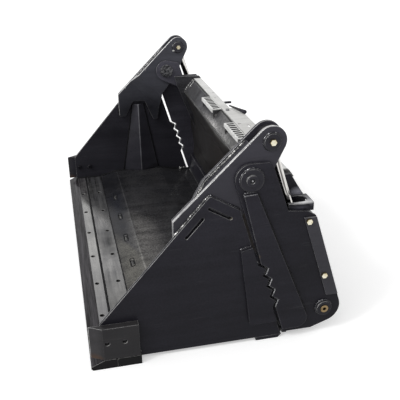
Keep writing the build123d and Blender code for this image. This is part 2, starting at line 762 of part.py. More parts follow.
def rear_inner_plate():
    """Inner side of a cylinder box, from the pivot head down behind the moldboard."""
    mold_back = MOLDBOARD_BACK[::-1]
    low_head = tangent_point(PIVOT, HEAD_R, mold_back[0], -1)
    outline = [low_head] + mold_back + rear_foot()
    outline += [rear_line(INNER_REAR_TOP_Z, 0), INNER_SHOULDER]
    outline += [(INNER_TOP_REAR_Y, INNER_TOP_Z), (INNER_TOP_FRONT_Y, INNER_TOP_Z)]
    outline += [INNER_HEAD_REAR, (PIVOT[0], PIVOT[1] + HEAD_R)]
    sketch = rounded(shape(outline), (INNER_TOP_REAR_Y, INNER_TOP_Z), INNER_TOP_R)
    sketch += disc(PIVOT, 2 * HEAD_R)
    sketch += disc(BASE_PIN, 2 * BASE_R)
    sketch -= disc(PIVOT, PIVOT_PIN_D + 2 * PIN_FIT)
    sketch -= disc(BASE_PIN, BASE_PIN_D + 2 * PIN_FIT)
    return layer(sketch, REAR_INNER_IN, REAR_INNER_OUT)


def rear_tooth_strip():
    """Toothed strip outside the rear plate, along the cut."""
    edge = cut_edge(REAR_CUT, cut_down(STRIP_TOP_Z, REAR_CUT), STRIP_BOTTOM_Z)
    edge[0] = (edge[0][0] + STRIP_TOP_SET_BACK, edge[0][1])
    top_rear = (edge[0][0] + STRIP_TOP_WIDTH, edge[0][1] + STRIP_TOP_RISE)
    low_rear = (edge[-1][0] + STRIP_BOTTOM_WIDTH, edge[-1][1])
    sketch = rounded(shape(edge + [low_rear, top_rear]), low_rear, STRIP_R)
    return layer(sketch, SIDE_OUT, SIDE_OUT + TOOTH_PLATE_T)


def moldboard():
    """Bent front plate of the rear blade."""
    return full_width(band(MOLDBOARD_LINE, -MOLDBOARD_T), REAR_OUTER_IN)


def rear_cutting_edge():
    """Bar on the front of the moldboard's lower end."""
    return full_width(REAR_EDGE_SECTION, SIDE_IN)


BEAM_UNDER_LIP = between(MOLDBOARD_LINE[-1], BEAM_TOP, LIP_TOP_Z - QA_LIP_T)
BEAM_REAR = (BEAM_UNDER_LIP[0] + BEAM_T, BEAM_UNDER_LIP[1])


def rear_inset(point):
    """Distance of a side-view point in front of the rear edge."""
    out = radians(REAR_LEAN)
    return BASE_R - (point[0] - BASE_PIN[0]) * cos(out) - (point[1] - BASE_PIN[1]) * sin(out)


QA_FRONT_INSET = rear_inset(BEAM_REAR)
QA_INSET = QA_FRONT_INSET - QA_T


def beam_front():
    """Sloping plate from the top of the moldboard to the top lip."""
    outline = [MOLDBOARD_LINE[-1], BEAM_UNDER_LIP, BEAM_REAR, MOLDBOARD_BACK[-1]]
    return full_width(outline, CHEEK_IN)


def quick_attach_lip():
    """Top lip that the loader's coupler hooks under, turned down at its rear."""
    turn = (BEAM_TOP[0] + QA_LIP_DEPTH, LIP_TOP_Z)
    path = [(BEAM_TOP[0], LIP_TOP_Z), turn, moved(turn, -45, QA_LIP_TURN)]
    return full_width(band(path, -QA_LIP_T), CHEEK_IN)


def quick_attach_plate():
    """Leaning flat face behind the moldboard that the loader's coupler bears on."""
    top = LIP_TOP_Z - QA_LIP_T
    outline = [rear_line(QA_BOTTOM_Z, QA_INSET), rear_line(top, QA_INSET),
               rear_line(top, QA_FRONT_INSET), rear_line(QA_BOTTOM_Z, QA_FRONT_INSET)]
    return full_width(outline, REAR_INNER_IN)


def beam_cheek():
    """Plate across the end of the beam and its lip, tapering down in front of the moldboard."""
    middle = (QA_INSET + QA_FRONT_INSET) / 2
    sketch = shape([
        CHEEK_TOP_FRONT,
        CHEEK_TOP_REAR,
        CHEEK_BROW,
        rear_line(CHEEK_BROW[1] - QA_T, middle),
        rear_line(CHEEK_REAR_LOW_Z, middle),
        between(*MOLDBOARD_LINE[1:3], CHEEK_LOW_Z),
        CHEEK_FRONT_BEND,
    ])
    sketch = rounded(sketch, CHEEK_TOP_REAR, CHEEK_TOP_R) - disc(CHEEK_HOLE, CHEEK_HOLE_D)
    return layer(sketch, CHEEK_IN, CHEEK_OUT) - quick_attach_plate() - moldboard()


def quick_attach_ledge():
    """Ledge at the foot of the quick-attach face, with two slots for the coupler's locking wedges."""
    foot = rear_line(QA_BOTTOM_Z, QA_INSET)
    path = [foot, moved(foot, REAR_LEAN, QA_LEDGE_DEPTH)]
    ledge = full_width(band(path, QA_LEDGE_T), REAR_INNER_IN)
    centre = moved(foot, REAR_LEAN, QA_LEDGE_DEPTH / 2)
    cutter = Rot(REAR_LEAN, 0, 0) * Box(QA_SLOT_WIDTH, QA_SLOT_DEPTH, 4 * QA_LEDGE_T)
    return ledge - [Pos(x, *centre) * cutter for x in pitched(QA_SLOT_PITCH, 2)]


CLOSER_TOP_FRONT = between(*MOLDBOARD_BACK[:2], MOLDBOARD_BACK[0][1] + BOTTOM_CLOSER_T)
CLOSER_TOP_REAR = rear_line(QA_BOTTOM_Z + BOTTOM_CLOSER_T, QA_FRONT_INSET)


def bottom_closer():
    """Plate that closes the bottom between the moldboard and the quick-attach face."""
    outline = [MOLDBOARD_BACK[0], rear_line(QA_BOTTOM_Z, QA_FRONT_INSET), CLOSER_TOP_REAR, CLOSER_TOP_FRONT]
    return full_width(outline, REAR_INNER_IN)


def back_ribs():
    """Upright ribs between the moldboard and the quick-attach face."""
    outline = [CLOSER_TOP_FRONT] + MOLDBOARD_BACK[1:]
    outline += [rear_line(MOLDBOARD_BACK[-1][1], QA_FRONT_INSET), CLOSER_TOP_REAR]
    half = QA_RIB_T / 2
    return [layer(shape(outline), x - half, x + half) for x in pitched(QA_RIB_PITCH, QA_RIB_COUNT)]


def box_back():
    """Plate that closes the rear of a cylinder box."""
    outline = [rear_line(BOX_BACK_LOW_Z, 0), rear_line(BOX_BACK_HIGH_Z, 0),
               rear_line(BOX_BACK_HIGH_Z, BOX_BACK_T), rear_line(BOX_BACK_LOW_Z, BOX_BACK_T)]
    return layer(shape(outline), REAR_INNER_OUT, REAR_OUTER_IN)


def box_flange():
    """Top of a cylinder box: slotted from the front for the rod, with a lip down its outer edge."""
    top = rectangle(REAR_INNER_OUT, REAR_OUTER_IN, FLANGE_FRONT_Y, FLANGE_REAR_Y)
    half_slot = FLANGE_SLOT_W / 2
    slot_round = FLANGE_SLOT_END_Y - half_slot
    top -= rectangle(CYLINDER_X - half_slot, CYLINDER_X + half_slot, FLANGE_FRONT_Y, slot_round)
    top -= disc((CYLINDER_X, slot_round), FLANGE_SLOT_W)
    lip = rectangle(REAR_OUTER_IN - FLANGE_T, REAR_OUTER_IN, FLANGE_FRONT_Y, FLANGE_REAR_Y)
    flange = raised(top, FLANGE_TOP_Z - FLANGE_T, FLANGE_TOP_Z)
    return flange + raised(lip, FLANGE_TOP_Z - FLANGE_LIP_H, FLANGE_TOP_Z)


def cover_bolt_places():
    """Side-view places of the two bolts in a cover strip."""
    return [rear_line(z, COVER_BOLT_SET_IN) for z in COVER_BOLT_Z]


def cover_strip():
    """Strip bolted along the rear edge of the outer plate."""
    sketch = shape([rear_line(COVER_LOW_Z, 0), rear_line(COVER_HIGH_Z, 0),
                    rear_line(COVER_HIGH_Z, COVER_WIDTH), rear_line(COVER_LOW_Z, COVER_WIDTH)])
    for bolt in cover_bolt_places():
        sketch -= disc(bolt, COVER_BOLT_D + 2 * PIN_FIT)
    return layer(sketch, SIDE_OUT, SIDE_OUT + COVER_T)


def cover_bolt(place):
    """Bolt that holds a cover strip."""
    face = SIDE_OUT + COVER_T
    head = Pos(*place) * RegularPolygon(COVER_BOLT_HEAD_D / 2, 6)
    return layer(head, face, face + COVER_BOLT_HEAD_H) + round_bar(place, COVER_BOLT_D, REAR_OUTER_IN, face)


def pivot_pin():
    """Pin that hangs an arm between the rear plates, with its disc and socket cap outside."""
    disc_face = SIDE_OUT + PIVOT_DISC_T
    cap_face = disc_face + PIVOT_CAP_H
    pin = round_bar(PIVOT, PIVOT_PIN_D, REAR_INNER_IN, SIDE_OUT)
    pin += round_bar(PIVOT, PIVOT_DISC_D, SIDE_OUT, disc_face)
    pin += round_bar(PIVOT, PIVOT_CAP_D, disc_face, cap_face)
    return pin - round_bar(PIVOT, PIVOT_SOCKET_D, cap_face - PIVOT_SOCKET_DEPTH, cap_face)


def pivot_keeper():
    """Disc welded over the inner end of a pivot pin."""
    return round_bar(PIVOT, PIVOT_KEEPER_D, REAR_INNER_IN - PIVOT_KEEPER_T, REAR_INNER_IN)


def base_pin():
    """Pin at the foot of a cylinder, with a spigot through the outer plate and its boss."""
    end = SIDE_OUT + BASE_BOSS_T + BASE_PIN_PROUD
    pin = round_bar(BASE_PIN, BASE_PIN_D, REAR_INNER_IN, REAR_OUTER_IN)
    pin += round_bar(BASE_PIN, BASE_SPIGOT_D, REAR_OUTER_IN, end)
    pin += round_bar(BASE_PIN, BASE_KEEPER_D, REAR_INNER_IN - BASE_KEEPER_T, REAR_INNER_IN)
    return pin - round_bar(BASE_PIN, BASE_PIN_HOLE_D, end - BASE_PIN_HOLE_DEPTH, end)


def base_boss():
    """Welded ring round the outer end of a base pin."""
    ring = disc(BASE_PIN, BASE_BOSS_D) - disc(BASE_PIN, BASE_SPIGOT_D + 2 * PIN_FIT)
    return layer(ring, SIDE_OUT, SIDE_OUT + BASE_BOSS_T)


CYLINDER_PLACE = Pos(CYLINDER_X, *BASE_PIN) * Rot(CYLINDER_LEAN, 0, 0)


def upright(diameter, low, high):
    """Round bar along a cylinder's own axis, between two distances from its base pin."""
    return Pos(0, 0, low) * Cylinder(diameter / 2, high - low, align=(Align.CENTER, Align.CENTER, Align.MIN))


def tapered(low_diameter, high_diameter, low, high):
    """Round tapered bar along its own axis, between two distances."""
    ends = (Align.CENTER, Align.CENTER, Align.MIN)
    return Pos(0, 0, low) * Cone(low_diameter / 2, high_diameter / 2, high - low, align=ends)


def crossways(diameter, width, height):
    """Round bar across a cylinder's axis at a distance from its base pin."""
    return Pos(0, 0, height) * Rot(0, 90, 0) * Cylinder(diameter / 2, width)


def cylinder_barrel():
    """Barrel with its base eye and two ports."""
    barrel = upright(BARREL_D, 0, BARREL_LENGTH) + crossways(BARREL_D, BASE_EYE_WIDTH, 0)
    for height in (PORT_LOW, PORT_HIGH):
        barrel += Pos(0, -BARREL_D / 2, height) * Rot(90, 0, 0) * Cylinder(PORT_D / 2, 2 * PORT_H)
    barrel -= upright(BARREL_BORE, BARREL_FLOOR, BARREL_LENGTH)
    for side in (-1, 1):
        beside_eye = side * (BASE_EYE_WIDTH / 2 + BARREL_D)
        barrel -= Pos(beside_eye, 0, 0) * Box(2 * BARREL_D, 2 * BARREL_D, BARREL_D)
    return barrel - crossways(BASE_PIN_D + 2 * BASE_BUSH_WALL, 2 * BASE_EYE_WIDTH, 0)


def base_bush():
    """Bush in the base eye."""
    outer = crossways(BASE_PIN_D + 2 * BASE_BUSH_WALL, BASE_EYE_WIDTH, 0)
    return outer - crossways(BASE_PIN_D + 2 * RUN_FIT, 2 * BASE_EYE_WIDTH, 0)


def cylinder_gland():
    """Gland screwed into the top of the barrel."""
    gland = upright(BARREL_D, BARREL_LENGTH, BARREL_LENGTH + GLAND_FLANGE_T)
    gland += upright(BARREL_BORE - 2 * PIN_FIT, BARREL_LENGTH - GLAND_SPIGOT, BARREL_LENGTH)
    return gland - upright(ROD_D + 2 * RUN_FIT, 0, 2 * BARREL_LENGTH)


def cylinder_piston():
    """Piston on the lower end of the rod."""
    piston = upright(BARREL_BORE - 2 * RUN_FIT, PISTON_START, PISTON_START + PISTON_LENGTH)
    return piston - upright(ROD_SPIGOT_D + 2 * PIN_FIT, 0, BARREL_LENGTH)


def cylinder_rod():
    """Chromed rod with its welded eye, whose bore leaves the rod pin room to wander."""
    piston_end = PISTON_START + PISTON_LENGTH
    rod = upright(ROD_SPIGOT_D, PISTON_START, piston_end)
    rod += upright(ROD_D, piston_end, CYLINDER_LENGTH)
    rod += crossways(EYE_D, EYE_WIDTH, CYLINDER_LENGTH)
    return rod - crossways(ROD_PIN_D + 2 * EYE_SLACK, 2 * EYE_WIDTH, CYLINDER_LENGTH)


def step_tread():
    """Slotted tread with a turned-down front lip."""
    depth = BEAM_TOP[0] - TREAD_FRONT_Y
    top_z = LIP_TOP_Z
    corner = (Align.CENTER, Align.MIN, Align.MAX)
    tread = Pos(0, TREAD_FRONT_Y, top_z) * Box(TREAD_LENGTH, depth, TREAD_T, align=corner)
    tread += Pos(0, TREAD_FRONT_Y, top_z) * Box(TREAD_LENGTH, TREAD_T, TREAD_LIP_H, align=corner)
    slot_length = depth - TREAD_T - 2 * TREAD_SLOT_EDGE
    slot_y = TREAD_FRONT_Y + (depth + TREAD_T) / 2
    for x in pitched(TREAD_LENGTH / (TREAD_SLOT_COUNT + 0.5), TREAD_SLOT_COUNT):
        tread -= Pos(x, slot_y, top_z) * Box(TREAD_SLOT_W, slot_length, 2 * TREAD_T)
    return Pos(TREAD_CENTRE_X, 0, 0) * tread


def tread_supports():
    """Triangular plates under the ends of both treads, standing on the sloping beam plate."""
    low = MOLDBOARD_LINE[-1]
    under = LIP_TOP_Z - TREAD_T
    front = TREAD_FRONT_Y + TREAD_T
    meets = between(low, BEAM_TOP, under)
    foot = between(low[::-1], BEAM_TOP[::-1], front)[::-1]
    outline = shape([(front, under), meets, foot])
    reach = TREAD_LENGTH / 2 - TREAD_SUPPORT_T
    places = [TREAD_CENTRE_X - reach - TREAD_SUPPORT_T, TREAD_CENTRE_X + reach]
    return [half for x in places for half in both_sides(layer(outline, x, x + TREAD_SUPPORT_T))]


BRACKET_REAR_Y = BEAM_TOP[0] + BRACKET_DEPTH


def hose_bracket():
    """Plate on the top lip that carries the hydraulic couplers."""
    sketch = rectangle(BRACKET_X_LOW, BRACKET_X_HIGH, BEAM_TOP[0], BRACKET_REAR_Y)
    sketch = rounded(sketch, (BRACKET_X_LOW, BRACKET_REAR_Y), BRACKET_R)
    hole_y = BEAM_TOP[0] + BRACKET_BOLT_SET_BACK
    sketch -= disc((BRACKET_BOLT_X, hole_y), BRACKET_BOLT_D + 2 * PIN_FIT)
    sketch -= disc((BRACKET_HOLE_X, hole_y), BRACKET_HOLE_D)
    slot_y = BEAM_TOP[0] + BRACKET_SLOT_SET_BACK
    sketch -= Pos(BRACKET_SLOT_X, slot_y) * SlotOverall(BRACKET_SLOT_L, BRACKET_HOLE_D)
    return raised(sketch, LIP_TOP_Z, LIP_TOP_Z + BRACKET_T)


def hose_bracket_bolt():
    """Bolt that holds the hose bracket down on the lip."""
    top = LIP_TOP_Z + BRACKET_T
    place = (BRACKET_BOLT_X, BEAM_TOP[0] + BRACKET_BOLT_SET_BACK)
    head = Pos(*place) * RegularPolygon(BRACKET_BOLT_HEAD_D / 2, 6)
    return raised(head, top, top + BRACKET_BOLT_HEAD_H) + raised(disc(place, BRACKET_BOLT_D), LIP_TOP_Z, top)


COUPLER_Z = LIP_TOP_Z + BRACKET_T + COUPLER_D / 2
COUPLER_PLACE = Pos(*COUPLER_END, COUPLER_Z) * Rot(0, 0, COUPLER_TURN) * Rot(0, -90, 0)


def hose_coupler():
    """Round tapered body of a hydraulic coupler, lying on the bracket by its thick end."""
    body = tapered(COUPLER_D, STUB_D, 0, COUPLER_LENGTH)
    return COUPLER_PLACE * fillet(body.edges().sort_by(Axis.Z)[0], COUPLER_END_R)


def hose_stub():
    """Short stiff hose tail behind the coupler."""
    return COUPLER_PLACE * tapered(STUB_D, STUB_TIP_D, COUPLER_LENGTH, COUPLER_LENGTH + STUB_LENGTH)


def hose_peg():
    """Round peg on the turned-down end of the top lip, pointing back."""
    end = moved((BEAM_TOP[0] + QA_LIP_DEPTH, LIP_TOP_Z), -45, QA_LIP_TURN)
    start_y = end[0] - QA_LIP_T
    bar = Pos(PEG_X, start_y, end[1]) * Rot(-90, 0, 0) * upright(PEG_D, 0, PEG_END_Y - start_y)
    return (bar - quick_attach_lip()).solids().sort_by(Axis.Y)[-1]


def save_clam():
    """Write the nodes of the clam."""
    save("front_edge", front_edge())
    save("base_edge", base_edge())
    save("clam_floor", clam_floor())
    save("floor_ribs", *floor_ribs())
    save("wear_plate", wear_plate())
    save("heel_bar", heel_bar())
    save_pair("clam_side_plate", clam_side_plate())
    save("corner_blocks", *both_sides(corner_block()))
    save("block_bolts", *[half for place in BLOCK_BOLTS for half in both_sides(block_bolt(place))])
    save_pair("arm_outer_plate", arm_outer_plate())
    save_pair("arm_inner_plate", arm_inner_plate())
    save("arm_spacers", *both_sides(arm_spacer()))
    save("arm_pivot_tubes", *both_sides(arm_pivot_tube()))
    save("side_stiffeners", *both_sides(side_stiffener()))
    save("clam_tooth_plates", *both_sides(clam_tooth_plate()))
    save("rod_pins", *both_sides(rod_pin()))
    save("rod_pin_bolts", *[half for face in rod_bolt_faces() for half in both_sides(rod_bolt(face))])
    save("eye_washers", *[half for washer in eye_washers() for half in both_sides(washer)])


def save_rear():
    """Write the nodes of the rear blade."""
    save("moldboard", moldboard())
    save("rear_cutting_edge", rear_cutting_edge())
    save("beam_front", beam_front())
    save("quick_attach_lip", quick_attach_lip())
    save("beam_cheeks", *both_sides(beam_cheek()))
    save("quick_attach_plate", quick_attach_plate())
    save("quick_attach_ledge", quick_attach_ledge())
    save("bottom_closer", bottom_closer())
    save("back_ribs", *back_ribs())
    save_pair("rear_outer_plate", rear_outer_plate())
    save_pair("rear_inner_plate", rear_inner_plate())
    save("rear_tooth_strips", *both_sides(rear_tooth_strip()))
    save("box_backs", *both_sides(box_back()))
    save("box_flanges", *both_sides(box_flange()))
    save("cover_strips", *both_sides(cover_strip()))
    save("cover_bolts", *[half for place in cover_bolt_places() for half in both_sides(cover_bolt(place))])
    save("pivot_pins", *both_sides(pivot_pin()))
    save("pivot_keepers", *both_sides(pivot_keeper()))
    save("base_pins", *both_sides(base_pin()))
    save("base_bosses", *both_sides(base_boss()))
    save("step_treads", *both_sides(step_tread()))
    save("tread_supports", *tread_supports())
    save("hose_bracket", hose_bracket())
    save("hose_bracket_bolt", hose_bracket_bolt())
    save("hose_coupler", hose_coupler())
    save("hose_stub", hose_stub())
    save("hose_peg", hose_peg())


def save_cylinders():
    """Write the nodes of the two hydraulic cylinders."""
    save_pair("cylinder_barrel", CYLINDER_PLACE * cylinder_barrel())
    save_pair("base_bush", CYLINDER_PLACE * base_bush())
    save_pair("cylinder_gland", CYLINDER_PLACE * cylinder_gland())
    save_pair("cylinder_piston", CYLINDER_PLACE * cylinder_piston())
    save_pair("cylinder_rod", CYLINDER_PLACE * cylinder_rod())


os.makedirs("parts", exist_ok=True)
save_clam()
save_rear()
save_cylinders()
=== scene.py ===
import json
import bpy
import numpy as np
from functools import partial
from mathutils import Matrix, Vector


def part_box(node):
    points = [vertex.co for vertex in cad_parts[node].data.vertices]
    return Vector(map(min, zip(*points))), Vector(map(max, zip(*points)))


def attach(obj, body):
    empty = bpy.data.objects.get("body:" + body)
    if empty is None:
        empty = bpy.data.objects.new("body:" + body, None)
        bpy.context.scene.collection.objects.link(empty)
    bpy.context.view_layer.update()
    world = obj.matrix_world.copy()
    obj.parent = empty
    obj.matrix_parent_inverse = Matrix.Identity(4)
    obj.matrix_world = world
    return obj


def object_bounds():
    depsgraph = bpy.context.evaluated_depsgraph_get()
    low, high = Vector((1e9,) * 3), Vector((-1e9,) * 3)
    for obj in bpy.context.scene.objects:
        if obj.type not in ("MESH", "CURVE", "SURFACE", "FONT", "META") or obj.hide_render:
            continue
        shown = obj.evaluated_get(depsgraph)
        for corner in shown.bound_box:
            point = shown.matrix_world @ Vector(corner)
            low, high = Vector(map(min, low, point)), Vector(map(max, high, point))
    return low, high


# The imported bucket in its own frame, metres: +X is the bucket's left, -Y its mouth, +Z up
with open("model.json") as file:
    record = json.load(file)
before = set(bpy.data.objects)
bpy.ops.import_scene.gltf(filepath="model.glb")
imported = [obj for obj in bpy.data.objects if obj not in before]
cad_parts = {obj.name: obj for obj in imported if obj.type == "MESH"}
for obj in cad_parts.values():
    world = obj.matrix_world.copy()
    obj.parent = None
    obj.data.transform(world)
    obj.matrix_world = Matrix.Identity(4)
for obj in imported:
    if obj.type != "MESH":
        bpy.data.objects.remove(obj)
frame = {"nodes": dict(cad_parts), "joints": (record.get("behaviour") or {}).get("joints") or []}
CAD_LOW, CAD_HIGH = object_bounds()
NODES = frame["nodes"]
JOINTS = {joint["name"]: joint for joint in frame["joints"]}
BOTH_SIDES = (1, -1)

# Layers across the width, read from the plates
SIDE_IN, SIDE_OUT = (corner.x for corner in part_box("left_clam_side_plate"))
ARM_OUTER_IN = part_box("left_arm_outer_plate")[0].x
ARM_INNER_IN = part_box("left_arm_inner_plate")[0].x
ARM_INNER_OUT = ARM_INNER_IN + SIDE_IN - ARM_OUTER_IN
REAR_INNER_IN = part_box("left_rear_inner_plate")[0].x
BOX_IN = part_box("left_rear_inner_plate")[1].x
BOX_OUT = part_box("left_rear_outer_plate")[0].x
CHEEK_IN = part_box("quick_attach_lip")[1].x
TOOTH_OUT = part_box("clam_tooth_plates")[1].x
PIVOT_CAP_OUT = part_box("pivot_pins")[1].x
HALF_WIDTH = CAD_HIGH.x

# Pins, as side-view places (Y, Z)
PIVOT = np.array(JOINTS["clam_hinge"]["pos_m"][1:])
BASE_PIN = np.array(JOINTS["left_barrel_swing"]["pos_m"][1:])
ROD_PIN = np.array([sum(corner.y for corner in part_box("rod_pins")) / 2,
                    sum(corner.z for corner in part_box("rod_pins")) / 2])
ROD_LEAN = 18.0
EYE_R = 0.040

# Clam, as side-view places (Y, Z), leans in degrees
SIDE_TOP = np.array((-0.028, 0.587))
SIDE_ARM_LOW = np.array((-0.148, 0.4523))
SIDE_TOP_REAR = np.array((0.073, 0.525))
SIDE_FRONT_LOW_Y = -0.4085
FRONT_SLOT = np.array((-0.080, 0.479))
FRONT_SLOT_LEAN = 48.3
TOP_SLOT = np.array((0.005, 0.522))
TOP_SLOT_LEAN = -31.0
SLOT_REACH = 0.040
ARM_LEAN = 44.0
ARM_END_R = 0.050
ARM_FOOT = [(-0.148, 0.447), (-0.148, 0.388), (-0.140, 0.380), (-0.118, 0.380), (-0.108, 0.386),
            (-0.077, 0.450), (-0.066, 0.461), (-0.014, 0.461), (-0.002, 0.449), (0.031, 0.364),
            (0.042, 0.352), (0.053, 0.352), (0.062, 0.360), (0.084, 0.500)]
STIFFENER_FRONT = [(-0.142, 0.060), (-0.073, 0.440)]
STIFFENER_REAR = [(0.056, 0.060), (-0.011, 0.440)]
TOOTH_PLATE_TOP = [(0.0733, 0.380), (0.1133, 0.389)]
EDGE_JOINT_Y = -0.360
EDGE_REAR_Y = -0.277
EDGE_TOP_Z = 0.035
FLOOR_LINE = [(-0.277, 0.035), (-0.184, 0.058), (0.060, 0.056), (0.190, 0.032), (0.2346, 0.032)]
FLOOR_BEND_Y = -0.184
FLOOR_CORNER = [(0.175, 0.039), (0.222, 0.036)]
FLOOR_SLOT_Y = -0.229
FLOOR_SLOT_PITCH = 0.2286
FLOOR_SLOT_COUNT = 5

# Rear blade, as side-view places (Y, Z), lean in degrees
STRIP_TOP = [(0.083, 0.582), (0.124, 0.585)]
STRIP_REAR = [(0.1285, 0.582), (0.3195, 0.098)]
BEAM_LOW = np.array((0.195, 0.522))
BEAM_TOP = np.array((0.248, 0.588))
BEAM_LAP = 0.42
FACE_LEAN = 17.4
FACE_FOOT = np.array((0.3932, 0.1614))
FACE_TOP_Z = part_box("quick_attach_plate")[1].z
BOX_FOOT = np.array((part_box("box_backs")[1].y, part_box("box_backs")[0].z))
BOX_TOP_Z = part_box("box_backs")[1].z
RIB_PITCH = 0.240
RIB_PLACES = RIB_PITCH * np.arange(-2, 3)
RIB_PLUG_HEIGHTS = (0.245, 0.350, 0.455)
RIB_PLUG_REACH = 0.030

# Step treads: ends across the width, and their slots
TREAD_ENDS = (0.103, 0.309)
TREAD_PITCHES = 8.5
TREAD_SLOT_PITCH = (TREAD_ENDS[1] - TREAD_ENDS[0]) / TREAD_PITCHES
TREAD_SLOT_Y = 0.2285
TREAD_SLOT_REACH = (0.0065, 0.0145)

# Camera at the photograph's angle
LENS = 57.6
SENSOR = 36.0
CAMERA_PLACE = (2.5998, -0.4590, 1.4233)
CAMERA_RIGHT = (0.2239, 0.9745, -0.0140)
CAMERA_UP = (-0.4052, 0.1061, 0.9080)
CAMERA_BACK = (0.8864, -0.1976, 0.4186)

# Studio light
WORLD_LIGHT = 0.50
FLOOR_GLOW = 0.42
SOFT_LIGHT = {"name": "soft_lamp", "power": 0.95, "spread": 55.0, "towards": (0.30, -0.60, 0.74)}
KEY_LIGHT = {"name": "key_lamp", "power": 0.75, "spread": 11.0, "towards": (0.24, -0.67, 0.70)}
BACK_LIGHT = {"name": "back_lamp", "power": 0.40, "spread": 60.0, "towards": (-0.25, 0.80, 0.55)}
FLOOR_REACH = 30.0
FLOOR_SHADES = ((0.80, 0.80, 0.80), (0.82, 0.82, 0.82))
FLOOR_ROUGH = 0.9
FLOOR_SPECULAR = 0.1

# Noise patterns: scale, detail, roughness, and stretch along X, Y and Z
CLOUDS = (5.0, 6.0)
ROLLING_STREAKS = (22.0, 7.0, 0.7, (1.0, 0.10, 1.0))
SCUFFS = (9.0, 8.0, 0.75, (1.0, 0.5, 6.0))
PAINT_GRAIN = (150.0, 5.0, 0.7)
ORANGE_PEEL = (420.0, 2.0)
DUST_DRIFTS = (14.0, 7.0)
RIM_CHIPS = (16.0, 6.0, 0.7)
EDGE_CHIPS = (38.0, 6.0, 0.7)
PATCH_RAGS = (26.0, 8.0, 0.72)
CUT_RAGS = (30.0, 6.0, 0.7)
TREAD_SPECKLE = (90.0, 6.0, 0.7)
EDGE_STREAKS = (9.0, 9.0, 0.72, (0.35, 6.0, 1.0))
EDGE_GRIME = (6.0, 7.0, 0.65)
EDGE_PITS = (170.0, 3.0, 0.6)
NOSE_SCRATCHES = (60.0, 8.0, 0.75, (0.05, 1.0, 1.0))
PLATING_DRIFT = (55.0, 5.0)
TURNING_MARKS = (700.0, 3.0)
REFLECTION_STREAKS = (105.0, 3.0, 0.6)
OIL_FILM = (45.0, 5.0)
WELD_LUMPS = (70.0, 6.0, 0.7)
WELD_SPECKS = (260.0, 4.0, 0.7)
RUBBER_BLOOM = (60.0, 6.0)
RUBBER_GRAIN = (900.0, 2.0)
STAGE_CLOUDS = (2.0,)

# Bumps: distance and strength
PAINT_BUMP = (0.0004, 0.10)
TREAD_BUMP = (0.0004, 0.12)
STEEL_BUMP = (0.0005, 0.14)
PLATING_BUMP = (0.0002, 0.12)
CHROME_BUMP = (0.0003, 0.10)
WELD_BUMP = (0.0008, 0.30)
RUBBER_BUMP = (0.0003, 0.2)

# Wear and painted highlights: the way, towards the lamps, that rubbed and lit faces look, then ranges of
# direction or noise over which a share grows to 1
LIT_AND_RUBBED_WAY = (0.0, -0.6, 0.8)
EDGE_SAMPLES = 8
EDGE_TURN = (0.998, 0.93)
EDGE_OPEN = (0.15, 0.60)
EDGE_BROKEN = (0.30, 0.56)
PATCH_RAGGED = 0.9
PATCH_CORE = 0.1
CUT_NOISE = (0.25, 0.75)
CUT_RAGGED = 0.05
CUT_SOFT = 0.03
MIDDLE_NOISE = (0.3, 0.7)
SIDEWAYS = (0.5, 0.8)


def node(tree, kind, inputs=None, **settings):
    """One shader node, with its settings and the values or links of its inputs."""
    made = tree.nodes.new(kind)
    for key, value in settings.items():
        setattr(made, key, value)
    for key, value in (inputs or {}).items():
        set_socket(tree, made.inputs[key], value)
    return made


def set_socket(tree, socket, value):
    """A link where the value is another node's output, else the value itself."""
    if isinstance(value, bpy.types.NodeSocket):
        tree.links.new(value, socket)
    else:
        socket.default_value = value


def new_finish(name):
    """An empty material with its principled shader: (material, node tree, shader, object coordinates)."""
    material = bpy.data.materials.new(name)
    material.use_nodes = True
    tree = material.node_tree
    shader = tree.nodes["Principled BSDF"]
    place = node(tree, "ShaderNodeTexCoord").outputs["Object"]
    return material, tree, shader, place


SHADER_INPUTS = {"colour": "Base Color", "rough": "Roughness", "metal": "Metallic", "bump": "Normal",
                 "specular": "Specular IOR Level"}


def give(tree, shader, **looks):
    """The looks put on the shader's inputs; one that is the same all over is set directly."""
    for look, value in looks.items():
        set_socket(tree, shader.inputs[SHADER_INPUTS[look]], value)


def noise(tree, place, scale, detail=4.0, rough=0.55, stretch=None):
    """Noise value over object coordinates, stretched along the axes where asked."""
    if stretch is not None:
        place = node(tree, "ShaderNodeMapping", {"Vector": place, "Scale": stretch}).outputs["Vector"]
    made = node(tree, "ShaderNodeTexNoise",
                {"Vector": place, "Scale": scale, "Detail": detail, "Roughness": rough})
    return made.outputs["Fac"]


def remap(tree, value, low, high, to_low=0.0, to_high=1.0):
    """A value carried from one range to another and held inside it."""
    made = node(tree, "ShaderNodeMapRange", {"Value": value, "From Min": low, "From Max": high,
                                             "To Min": to_low, "To Max": to_high})
    return made.outputs["Result"]


def calc(operation, tree, first, second):
    """Two values put together by one operation."""
    return node(tree, "ShaderNodeMath", {0: first, 1: second}, operation=operation).outputs[0]


# Sum, difference, product, larger and smaller of two values
plus, less, times, most, least = (partial(calc, operation) for operation in
                                  ("ADD", "SUBTRACT", "MULTIPLY", "MAXIMUM", "MINIMUM"))


def unsigned(tree, value):
    """A value without its sign."""
    return calc("ABSOLUTE", tree, value, 0.0)


def split(tree, vector):
    """The X, Y and Z parts of a vector."""
    return node(tree, "ShaderNodeSeparateXYZ", {"Vector": vector}).outputs


def own_way(tree):
    """The surface's direction in the piece's own space, which stays with the piece when its body moves."""
    return node(tree, "ShaderNodeTexCoord").outputs["Normal"]


def facing(tree):
    """The X, Y and Z parts of the surface's direction in the piece's own space."""
    return split(tree, own_way(tree))


